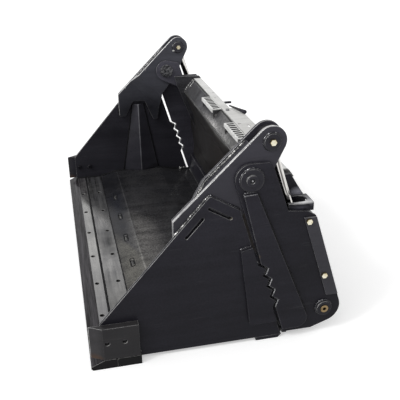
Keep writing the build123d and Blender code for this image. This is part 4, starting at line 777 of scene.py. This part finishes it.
FINISHES.update({
    "tread": slotted_paint("tread_paint", TREAD, (0.002, 0.002, 0.0025)),
    "edge": edge_steel("edge_steel", (0.40, 0.395, 0.385), (0.24, 0.24, 0.24), (0.030, 0.028, 0.031),
                       (0.13, 0.24), EDGE_SHADE, EDGE_PATCHES),
    "base": edge_steel("base_steel", (0.31, 0.305, 0.30), (0.12, 0.12, 0.125), (0.030, 0.030, 0.032),
                       (0.13, 0.26), BASE_SHADE, BASE_PATCHES),
    "chrome": chromed("chrome", (0.68, 0.665, 0.64), (0.13, 0.125, 0.12), (0.020, 0.019, 0.022)),
    "zinc": plated("yellow_zinc", (0.72, 0.69, 0.56), (0.46, 0.36, 0.16), 0.30),
    "bright": plated("bright_steel", (0.80, 0.80, 0.78), (0.62, 0.62, 0.60), 0.24),
    "bronze": plated("bronze", (0.25, 0.18, 0.095), (0.12, 0.086, 0.045), 0.34),
    "steel": plated("turned_steel", (0.34, 0.34, 0.35), (0.22, 0.22, 0.23), 0.30),
    "weld": weld_metal("weld_bead", (0.012, 0.0115, 0.016), (0.62, 0.62, 0.64), 0.26, 0.28, 0.30),
    "spatter": weld_metal("weld_spatter", (0.020, 0.020, 0.022), (0.70, 0.69, 0.67), 0.25, 0.26, 0.45,
                          hidden=0.5),
    "back_weld": weld_metal("back_weld_bead", (0.026, 0.025, 0.029), (0.30, 0.30, 0.31), 0.29, 0.28, 0.30,
                            hidden=0.8),
    "keeper": weld_metal("keeper_paint", (0.030, 0.030, 0.034), (0.30, 0.30, 0.31), 0.25, 0.30, 0.40,
                         hidden=1.0),
    "plug": weld_metal("plug_weld", (0.040, 0.039, 0.040), (0.20, 0.20, 0.19), 0.25, 0.34, 0.40, hidden=0.6),
    # Near-black groove beads: dark weld that also stands for the shade in grooves, corners and slot outlines
    "groove": weld_metal("groove_weld_and_shade", (0.006, 0.006, 0.007), (0.05, 0.05, 0.05), 0.36, 0.60, 0.15),
    "rubber": moulded_rubber("hose_rubber", (0.008, 0.008, 0.008)),
})

# The nodes in each finish; every other node is black
FINISH_NODES = {
    "edge": ["front_edge"],
    "base": ["base_edge"],
    "floor": ["clam_floor"],
    "side": ["left_clam_side_plate", "right_clam_side_plate"],
    "tooth": ["clam_tooth_plates"],
    "strip": ["rear_tooth_strips"],
    "arm": ["right_arm_outer_plate", "left_arm_inner_plate"],
    "arm_with_rim_highlight": ["left_arm_outer_plate", "right_arm_inner_plate"],
    "stiffener": ["side_stiffeners"],
    "block": ["corner_blocks"],
    "rear": ["left_rear_outer_plate", "right_rear_outer_plate", "left_rear_inner_plate",
             "right_rear_inner_plate"],
    "box": ["box_backs", "block_bolts"],
    "flange": ["box_flanges"],
    "cover": ["cover_strips"],
    "moldboard": ["moldboard"],
    "beam": ["beam_front", "beam_cheeks", "tread_supports"],
    "face": ["quick_attach_plate", "quick_attach_ledge"],
    "pale": ["quick_attach_lip", "hose_bracket"],
    "tread": ["step_treads"],
    "cap": ["pivot_pins", "base_bosses", "rod_pins"],
    "keeper": ["pivot_keepers"],
    "zinc": ["rod_pin_bolts", "cover_bolts"],
    "bronze": ["base_pins", "left_base_bush", "right_base_bush"],
    "chrome": ["left_cylinder_rod", "right_cylinder_rod"],
    "steel": ["eye_washers", "hose_bracket_bolt", "left_cylinder_gland", "right_cylinder_gland",
              "left_cylinder_piston", "right_cylinder_piston"],
    "rubber": ["hose_stub"],
}
NODE_FINISH = {name: finish for finish, names in FINISH_NODES.items() for name in names}

# Softened edges: widths of the bevels, and the angles in degrees at which faces count as flat or as an edge
BEVEL = {
    "step_treads": 0.0004, "hose_bracket": 0.0006, "box_flanges": 0.0010, "rod_pin_bolts": 0.0012,
    "block_bolts": 0.0008, "cover_bolts": 0.0012, "hose_bracket_bolt": 0.0008, "pivot_pins": 0.0010,
    "left_rear_outer_plate": 0.0018, "right_rear_outer_plate": 0.0018, "side_stiffeners": 0.0008,
    "eye_washers": 0.0004, "hose_peg": 0.0005, "beam_cheeks": 0.0006,
}
BEVEL_ELSEWHERE = 0.0014
BEVEL_STEPS = 2
EDGE_ANGLE = 32
FLAT_ANGLE = 0.3
MERGE_REACH = 0.00001


def dress_nodes():
    """Every CAD node gets its finish and softened edges."""
    for name, thing in NODES.items():
        finish = FINISHES[NODE_FINISH.get(name, "black")]
        for place in thing.material_slots:
            place.material = finish
        weld = thing.modifiers.new("weld", "WELD")
        weld.merge_threshold = MERGE_REACH
        flatten = thing.modifiers.new("flatten", "DECIMATE")
        flatten.decimate_type = "DISSOLVE"
        flatten.angle_limit = np.radians(FLAT_ANGLE)
        bevel = thing.modifiers.new("edges", "BEVEL")
        bevel.width = BEVEL.get(name, BEVEL_ELSEWHERE)
        bevel.segments = BEVEL_STEPS
        bevel.limit_method = "ANGLE"
        bevel.angle_limit = np.radians(EDGE_ANGLE)
        bevel.loop_slide = False
        bevel.harden_normals = True


def new_piece(name, shells, finish, body):
    """A mesh piece made of closed shells (points, faces) in the bucket's frame, riding on a body."""
    counts = np.cumsum([0] + [len(points) for points, _ in shells])
    faces = [(quads + count).tolist() for (_, groups), count in zip(shells, counts) for quads in groups]
    mesh = bpy.data.meshes.new(name)
    mesh.from_pydata(np.concatenate([points for points, _ in shells]), [], sum(faces, []))
    mesh.polygons.foreach_set("use_smooth", np.ones(len(mesh.polygons), bool))
    mesh.materials.append(FINISHES[finish])
    piece = bpy.data.objects.new(name, mesh)
    bpy.context.scene.collection.objects.link(piece)
    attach(piece, body)


def closed_tube(rings, first, last):
    """Shell of a tube of rings (count, sides, 3) with a pole at each end: points, quads and triangles."""
    count, sides = rings.shape[:2]
    ring_at, side = np.meshgrid(np.arange(count - 1), np.arange(sides), indexing="ij")
    after = (side + 1) % sides
    quads = np.stack([ring_at * sides + side, (ring_at + 1) * sides + side,
                      (ring_at + 1) * sides + after, ring_at * sides + after], -1)
    turn = np.arange(sides)
    follow = (turn + 1) % sides
    base = (count - 1) * sides
    cap_first = np.stack([np.full(sides, count * sides), turn, follow], -1)
    cap_last = np.stack([np.full(sides, count * sides + 1), base + follow, base + turn], -1)
    points = np.concatenate([rings.reshape(-1, 3), [first], [last]])
    return points, (quads.reshape(-1, 4), cap_first, cap_last)


# How every weld bead is laid; shares are of the half width or of the ripple pitch
BEAD_SIDES = 10
FEWEST_RINGS = 12
RING_STEP = 0.26
FEWEST_KNOTS = 4
KNOT_STEP = 0.012
RIPPLE = 0.13
RIPPLE_BOW = 0.35
LUMPS = 0.16
WANDER = 0.18
TAPER = 1.6
POLE_SHARE = 0.02
SEED_STEP = 10


def bead(path, outward, half_width, height, pitch, seed):
    """One weld bead along a path of points.

    At distance s along the path and angle a round it, the point is
    path(s) + across * half_width * cos(a) + outward * height * sin(a).
    Both reaches swell by 1 + RIPPLE cos(2 pi (s / pitch + RIPPLE_BOW sin(a))), which makes the crescent
    ripples, wander with a slow noise, and shrink to a pole at both ends.
    """
    path = np.asarray(path, float)
    outward = np.asarray(outward, float)
    lengths = np.concatenate([[0.0], np.cumsum(np.linalg.norm(np.diff(path, axis=0), axis=1))])
    rings = max(FEWEST_RINGS, int(lengths[-1] / (pitch * RING_STEP)))
    along = np.linspace(0.0, lengths[-1], rings)
    line = np.stack([np.interp(along, lengths, path[:, axis]) for axis in range(3)], -1)
    ahead = np.gradient(line, axis=0)
    ahead /= np.linalg.norm(ahead, axis=1, keepdims=True)
    across = np.cross(ahead, outward)
    across /= np.linalg.norm(across, axis=1, keepdims=True)
    up = np.cross(across, ahead)
    angle = np.linspace(0.0, 2 * np.pi, BEAD_SIDES, endpoint=False)
    chance = np.random.default_rng(seed)
    knots = max(FEWEST_KNOTS, int(lengths[-1] / KNOT_STEP))
    wander = np.interp(along, np.linspace(0, lengths[-1], knots), chance.uniform(-1, 1, knots))
    lumps = np.interp(along, np.linspace(0, lengths[-1], knots), chance.uniform(-1, 1, knots))
    ripple = 1 + RIPPLE * np.cos(2 * np.pi * (along[:, None] / pitch + RIPPLE_BOW * np.sin(angle)))
    ripple = ripple * (1 + LUMPS * lumps[:, None])
    reach = np.minimum(along, along[::-1]) / (TAPER * half_width)
    ripple = ripple * np.sqrt(np.clip(1 - (1 - np.clip(reach, POLE_SHARE, 1)) ** 2, 0, 1))[:, None]
    middle = line + across * (WANDER * half_width * wander)[:, None]
    points = (middle[:, None, :] + across[:, None, :] * (half_width * ripple * np.cos(angle))[..., None]
              + up[:, None, :] * (height * ripple * np.sin(angle))[..., None])
    return closed_tube(points, line[0], line[-1])


def bead_piece(name, beads, finish, body, both=True):
    """A group of weld beads as one piece; each bead is mirrored to the other side where both is set."""
    shells = []
    for index, (path, outward, half_width, height, pitch) in enumerate(beads):
        for side in (BOTH_SIDES if both else BOTH_SIDES[:1]):
            flip = np.array((side, 1, 1))
            shells.append(bead(np.asarray(path) * flip, np.asarray(outward) * flip, half_width, height, pitch,
                               SEED_STEP * index + side + 1))
    new_piece(name, shells, finish, body)


FIRST_SPOKE = (0.0, 0.6, 0.8)


def turned(start, axis, profile, sides=28):
    """A profile of (distance along the axis, radius) spun about an axis along X, a pole at each end.

    At angle a the point is start + axis * distance + (aside * cos(a) + other * sin(a)) * radius.
    """
    axis = np.asarray(axis, float)
    aside = np.cross(axis, FIRST_SPOKE)
    aside /= np.linalg.norm(aside)
    other = np.cross(aside, axis)
    along, radius = np.array(profile).T
    angle = np.linspace(0.0, 2 * np.pi, sides, endpoint=False)
    spoke = aside * np.cos(angle)[:, None] + other * np.sin(angle)[:, None]
    rings = np.asarray(start) + along[:, None, None] * axis + radius[:, None, None] * spoke
    return closed_tube(rings, np.asarray(start) + along[0] * axis, np.asarray(start) + along[-1] * axis)


def at(x, places):
    """Side-view places put at one distance across the width."""
    return [(x, y, z) for y, z in places]


def across_width(half, y, z):
    """Straight line across the width between -half and half, at one side-view place."""
    return [(-half, y, z), (half, y, z)]


# Closed outlines: how far they overlap themselves, and how sharply an oblong's ends begin
RING_OVERLAP = 1.02
OBLONG_OVERLAP = 1.01
OBLONG_SHARPNESS = 8


def ring(x, centre, radius, count=48):
    """Closed circle in the side view, overlapping itself a little where the bead ends."""
    angle = np.linspace(0, 2 * np.pi * RING_OVERLAP, count)
    return [(x, centre[0] + radius * np.cos(a), centre[1] + radius * np.sin(a)) for a in angle]


def oblong(centre, reach, radius, slope, count=60):
    """Closed outline on a sloping floor: two half circles of the radius, centred at -reach and reach along X.

    At angle a it is centre + (radius * cos(a) + reach * tanh(OBLONG_SHARPNESS * cos(a))) along X, and
    radius * sin(a) up the slope.
    """
    angle = np.linspace(0, 2 * np.pi * OBLONG_OVERLAP, count)
    uphill = np.array((0.0, slope[2], -slope[1]))
    aside = radius * np.cos(angle) + reach * np.tanh(OBLONG_SHARPNESS * np.cos(angle))
    along = np.array((1.0, 0.0, 0.0))
    return np.asarray(centre) + aside[:, None] * along + (radius * np.sin(angle))[:, None] * uphill


def lean_line(centre, lean, reach):
    """Two ends of a line through a side-view centre."""
    step = reach * np.array((np.cos(np.radians(lean)), np.sin(np.radians(lean))))
    return [centre - step, centre + step]


def up_arm(distance, inset):
    """Side-view place at a distance up the arm from the rod pin, set in from the arm's front edge."""
    lean = np.radians(ARM_LEAN)
    ahead = np.array((np.cos(lean), np.sin(lean)))
    front = np.array((-np.sin(lean), np.cos(lean)))
    return ROD_PIN + distance * ahead + (ARM_END_R - inset) * front


def up_face(foot, height):
    """Side-view place on the leaning back, straight up it from a foot to a height."""
    return np.array((foot[0] - (height - foot[1]) * np.tan(np.radians(FACE_LEAN)), height))


# Ways that beads face
OUT = (1, 0, 0)
INWARD = (-1, 0, 0)
UP = (0, 0, 1)
FLOOR_CORNER_WAY = (-0.7, 0, 0.7)
FLOOR_SLOPE_WAY = (0, -0.24, 0.97)
BEAM_END_WAY = (-0.7, -0.55, 0.44)
BEAM_WAY = (0, -0.78, 0.63)
BEAM_SEAM_WAY = (0, -0.9, 0.4)

# Weld beads: half width, height and ripple pitch
ARM_BEAD = (0.0045, 0.0045, 0.0075)
SIDE_TOP_BEAD = (0.0040, 0.0040, 0.0075)
SLOT_BEAD = (0.0048, 0.0030, 0.0065)
TOOTH_PLATE_BEAD = (0.0050, 0.0045, 0.0080)
SPACER_BEAD = (0.0055, 0.0055, 0.0085)
ROD_BOSS_BEAD = (0.0040, 0.0040, 0.0070)
INNER_SIDE_BEAD = (0.0035, 0.0035, 0.0075)
FLOOR_SIDE_BEAD = (0.0050, 0.0050, 0.0090)
EDGE_SIDE_BEAD = (0.0045, 0.0045, 0.0090)
EDGE_JOINT_BEAD = (0.0056, 0.0045, 0.0100)
EDGE_REAR_BEAD = (0.0034, 0.0030, 0.0100)
FLOOR_PLUG_BEAD = (0.0056, 0.0034, 0.0080)
PLUG_OUTLINE_BEAD = (0.0022, 0.0016, 0.0060)
FLOOR_CORNER_BEAD = (0.0075, 0.0070, 0.0110)
PIVOT_BEAD = (0.0038, 0.0038, 0.0070)
BASE_BEAD = (0.0036, 0.0036, 0.0070)
STRIP_TOP_BEAD = (0.0060, 0.0055, 0.0085)
STRIP_REAR_BEAD = (0.0052, 0.0040, 0.0090)
BEAM_END_BEAD = (0.0045, 0.0045, 0.0080)
BEAM_LAP_BEAD = (0.0040, 0.0035, 0.0080)
BEAM_SEAM_BEAD = (0.0040, 0.0030, 0.0090)
FACE_BEAD = (0.0050, 0.0050, 0.0085)
RIB_PLUG_BEAD = (0.0075, 0.0022, 0.0090)
BOX_SEAM_BEAD = (0.0045, 0.0028, 0.0080)

# How far beads stand off or sink into their plates
LIFT = 0.001
SIDE_BEAD_LIFT = 0.002
SLOT_BEAD_LIFT = 0.0015
STRIP_BEAD_LIFT = 0.0005
GROOVE_END_GAP = 0.002
EDGE_JOINT_SINK = 0.0030
EDGE_REAR_SINK = 0.0015
PLUG_SINK = 0.0035
FLOOR_CORNER_INSET = 0.006
BEAM_END_INSET = 0.002
BEAM_LAP_INSET = 0.034

# Closing strips of the arms: (X, distance up the arm) along each weld, and how deep the strip is set in
SPACER_SET_IN = 0.008
SPACER_INNER_RUN = [(ARM_INNER_OUT + 0.003, -0.058), (ARM_INNER_OUT + 0.003, -0.245),
                    (ARM_OUTER_IN - 0.004, -0.300)]
SPACER_OUTER_RUN = [(ARM_OUTER_IN - 0.003, -0.058), (ARM_OUTER_IN - 0.003, -0.29)]

# Rings and plugs
ROD_BOSS_R = 0.028
PIVOT_RING_R = 0.0390
BASE_RING_R = 0.0290
PLUG_FILL_REACH = 0.017
PLUG_REACH = 0.026
PLUG_R = 0.0085


def clam_welds():
    """Weld beads of the clam: arms, closing strips, slots, tooth plates, stiffeners and floor."""
    on_side = SIDE_IN + SIDE_BEAD_LIFT
    in_slot = SIDE_IN + SLOT_BEAD_LIFT
    inside = SIDE_IN - LIFT
    bead_piece("arm_side_welds", [(at(on_side, [SIDE_ARM_LOW, SIDE_TOP]), OUT, *ARM_BEAD)], "spatter", "clam")
    bead_piece("side_plate_welds", [
        (at(on_side, [SIDE_TOP, SIDE_TOP_REAR]), OUT, *SIDE_TOP_BEAD),
        (at(in_slot, lean_line(FRONT_SLOT, FRONT_SLOT_LEAN, SLOT_REACH)), OUT, *SLOT_BEAD),
        (at(in_slot, lean_line(TOP_SLOT, TOP_SLOT_LEAN, SLOT_REACH)), OUT, *SLOT_BEAD),
        (at(SIDE_OUT, TOOTH_PLATE_TOP), OUT, *TOOTH_PLATE_BEAD),
    ], "weld", "clam")
    arm_front = (0, -np.sin(np.radians(ARM_LEAN)), np.cos(np.radians(ARM_LEAN)))
    bead_piece("arm_spacer_welds", [
        ([(x, *up_arm(distance, SPACER_SET_IN)) for x, distance in run], arm_front, *SPACER_BEAD)
        for run in (SPACER_INNER_RUN, SPACER_OUTER_RUN)], "spatter", "clam")
    bead_piece("rod_boss_welds", [
        (ring(SIDE_IN + LIFT, ROD_PIN, ROD_BOSS_R), OUT, *ROD_BOSS_BEAD),
        (ring(ARM_INNER_IN - LIFT, ROD_PIN, ROD_BOSS_R), INWARD, *ROD_BOSS_BEAD),
    ], "weld", "clam")
    feet = (ARM_FOOT, STIFFENER_FRONT, STIFFENER_REAR)
    bead_piece("inner_side_welds", [(at(inside, foot), INWARD, *INNER_SIDE_BEAD) for foot in feet],
               "groove", "clam")
    edge_line = [(SIDE_FRONT_LOW_Y, EDGE_TOP_Z), (EDGE_REAR_Y, EDGE_TOP_Z)]
    bead_piece("floor_side_welds", [
        (at(inside, [(y, z + LIFT) for y, z in FLOOR_LINE]), FLOOR_CORNER_WAY, *FLOOR_SIDE_BEAD),
        (at(inside, [(y, z + LIFT) for y, z in edge_line]), FLOOR_CORNER_WAY, *EDGE_SIDE_BEAD),
    ], "groove", "clam")
    joint_z = EDGE_TOP_Z - EDGE_JOINT_SINK
    rear_z = EDGE_TOP_Z - EDGE_REAR_SINK
    bead_piece("floor_groove_welds", [
        (across_width(HALF_WIDTH - GROOVE_END_GAP, EDGE_JOINT_Y, joint_z), UP, *EDGE_JOINT_BEAD),
        (across_width(SIDE_IN - GROOVE_END_GAP, EDGE_REAR_Y, rear_z), UP, *EDGE_REAR_BEAD),
    ], "groove", "clam", both=False)
    floor_z = np.interp(FLOOR_SLOT_Y, *zip(*FLOOR_LINE))
    places = FLOOR_SLOT_PITCH * (np.arange(FLOOR_SLOT_COUNT) - (FLOOR_SLOT_COUNT - 1) / 2)
    fill_z = floor_z - PLUG_SINK
    bead_piece("floor_plug_welds", [
        ([(x - PLUG_FILL_REACH, FLOOR_SLOT_Y, fill_z), (x + PLUG_FILL_REACH, FLOOR_SLOT_Y, fill_z)],
         FLOOR_SLOPE_WAY, *FLOOR_PLUG_BEAD) for x in places], "plug", "clam", both=False)
    bead_piece("floor_plug_outlines", [
        (oblong((x, FLOOR_SLOT_Y, floor_z), PLUG_REACH, PLUG_R, FLOOR_SLOPE_WAY), FLOOR_SLOPE_WAY,
         *PLUG_OUTLINE_BEAD) for x in places], "groove", "clam", both=False)
    bead_piece("floor_corner_welds", [
        (at(SIDE_IN - FLOOR_CORNER_INSET, FLOOR_CORNER), FLOOR_CORNER_WAY, *FLOOR_CORNER_BEAD),
    ], "spatter", "clam")


def rear_welds():
    """Weld beads of the rear blade: pivot and base rings, tooth strips, beam ends and beam seam.

    The near-black beads on the tooth strips' rear edges are painted shade.
    """
    bead_piece("rear_side_welds", [
        (ring(SIDE_OUT + LIFT, PIVOT, PIVOT_RING_R), OUT, *PIVOT_BEAD),
        (ring(SIDE_OUT + LIFT, BASE_PIN, BASE_RING_R), OUT, *BASE_BEAD),
        (at(SIDE_OUT, STRIP_TOP), OUT, *STRIP_TOP_BEAD),
    ], "weld", "rear")
    # A near-black bead along each strip's rear edge: painted shade at the step from strip to plate
    bead_piece("strip_rear_shade_beads", [
        (at(SIDE_OUT + STRIP_BEAD_LIFT, STRIP_REAR), OUT, *STRIP_REAR_BEAD),
    ], "groove", "rear")
    lap = BEAM_LOW + BEAM_LAP * (BEAM_TOP - BEAM_LOW)
    bead_piece("beam_end_welds", [
        (at(CHEEK_IN - BEAM_END_INSET, [BEAM_LOW, BEAM_TOP]), BEAM_END_WAY, *BEAM_END_BEAD),
        (at(CHEEK_IN - BEAM_LAP_INSET, [lap, BEAM_TOP]), BEAM_WAY, *BEAM_LAP_BEAD),
    ], "spatter", "rear")
    bead_piece("beam_seam_weld", [(across_width(CHEEK_IN, *BEAM_LOW), BEAM_SEAM_WAY, *BEAM_SEAM_BEAD)],
               "plug", "rear", both=False)


def back_welds():
    """Weld beads of the back: round the quick-attach face, plugs over its ribs, seams of the boxes."""
    lean = np.radians(FACE_LEAN)
    way = np.array((0.0, np.cos(lean), np.sin(lean)))
    ledge_way = (0.0, np.cos(lean) - np.sin(lean), np.cos(lean) + np.sin(lean))
    face_side = [FACE_FOOT, up_face(FACE_FOOT, FACE_TOP_Z)]
    bead_piece("quick_attach_side_welds", [(at(REAR_INNER_IN - LIFT, face_side), way - OUT, *FACE_BEAD)],
               "back_weld", "rear")
    bead_piece("quick_attach_ledge_weld", [(across_width(REAR_INNER_IN, *FACE_FOOT), ledge_way, *FACE_BEAD)],
               "back_weld", "rear", both=False)
    bead_piece("rib_plug_welds", [
        (at(x, [up_face(FACE_FOOT, height + end) for end in (-RIB_PLUG_REACH, RIB_PLUG_REACH)]), way,
         *RIB_PLUG_BEAD) for x in RIB_PLACES for height in RIB_PLUG_HEIGHTS], "back_weld", "rear", both=False)
    seam = [BOX_FOOT, up_face(BOX_FOOT, BOX_TOP_Z)]
    bead_piece("box_seam_welds", [(at(x, seam), way, *BOX_SEAM_BEAD) for x in (BOX_IN, BOX_OUT)],
               "back_weld", "rear")


# Grease nipples: profiles of (distance along the axis, radius), place on the arm, depth in the pivot cap
NIPPLE_PROFILE = [(0.0, 0.0062), (0.0035, 0.0062), (0.0042, 0.0050), (0.0042, 0.0034), (0.0070, 0.0032),
                  (0.0088, 0.0036), (0.0102, 0.0030), (0.0108, 0.0018)]
SOCKET_PROFILE = [(0.0, 0.0042), (0.0030, 0.0042), (0.0036, 0.0036), (0.0050, 0.0026), (0.0056, 0.0012)]
NIPPLE_SET = np.array((-0.024, -0.017))
SOCKET_DEPTH = 0.006


def grease_fittings():
    """Grease nipples on the arms' inner faces and in the pivot caps."""
    nipple = ROD_PIN + NIPPLE_SET
    cap_floor = PIVOT_CAP_OUT - SOCKET_DEPTH
    new_piece("arm_grease_nipples", [turned((side * ARM_INNER_IN, *nipple), (-side, 0, 0), NIPPLE_PROFILE)
                                     for side in BOTH_SIDES], "bright", "clam")
    new_piece("pivot_grease_nipples", [turned((side * cap_floor, *PIVOT), (side, 0, 0), SOCKET_PROFILE)
                                       for side in BOTH_SIDES], "steel", "rear")


def make_camera():
    """Camera at the photograph's angle; its axes are the columns of its matrix."""
    data = bpy.data.cameras.new("camera")
    data.lens = LENS
    data.sensor_width = SENSOR
    camera = bpy.data.objects.new("camera", data)
    columns = [(*CAMERA_RIGHT, 0), (*CAMERA_UP, 0), (*CAMERA_BACK, 0), (*CAMERA_PLACE, 1)]
    camera.matrix_world = Matrix(columns).transposed()
    bpy.context.scene.collection.objects.link(camera)
    bpy.context.scene.camera = camera


def seen_share(tree):
    """1 for camera, glossy and transmission rays, else 0."""
    path = node(tree, "ShaderNodeLightPath").outputs
    return most(tree, most(tree, path["Is Camera Ray"], path["Is Glossy Ray"]), path["Is Transmission Ray"])


def make_lamp(name, power, spread, towards):
    """A far lamp that shines from the direction it is towards."""
    data = bpy.data.lights.new(name, "SUN")
    data.energy = power
    data.angle = np.radians(spread)
    lamp = bpy.data.objects.new(name, data)
    lamp.rotation_euler = Vector(towards).to_track_quat("Z", "Y").to_euler()
    bpy.context.scene.collection.objects.link(lamp)


def make_stage():
    """White surroundings, three lamps and a pale floor that keeps the shadow."""
    world = bpy.data.worlds.new("studio")
    world.use_nodes = True
    bpy.context.scene.world = world
    tree = world.node_tree
    background = tree.nodes["Background"]
    background.inputs["Color"].default_value = (1.0, 1.0, 1.0, 1.0)
    tree.links.new(remap(tree, seen_share(tree), 0, 1, WORLD_LIGHT, 1.0), background.inputs["Strength"])
    for lamp in (SOFT_LIGHT, KEY_LIGHT, BACK_LIGHT):
        make_lamp(**lamp)
    mesh = bpy.data.meshes.new("floor")
    reach = FLOOR_REACH
    mesh.from_pydata([(-reach, -reach, 0), (reach, -reach, 0), (reach, reach, 0), (-reach, reach, 0)], [],
                     [(0, 1, 2, 3)])
    material, tree, shader, place = new_finish("pale_floor")
    shade = mix_colour(tree, noise(tree, place, *STAGE_CLOUDS), *FLOOR_SHADES)
    give(tree, shader, colour=shade, rough=FLOOR_ROUGH, specular=FLOOR_SPECULAR)
    shader.inputs["Emission Color"].default_value = (1.0, 1.0, 1.0, 1.0)
    tree.links.new(times(tree, seen_share(tree), FLOOR_GLOW), shader.inputs["Emission Strength"])
    mesh.materials.append(material)
    floor = bpy.data.objects.new("floor", mesh)
    bpy.context.scene.collection.objects.link(floor)
    bpy.context.scene.view_settings.view_transform = "Standard"


dress_nodes()
clam_welds()
rear_welds()
back_welds()
grease_fittings()
make_camera()
make_stage()
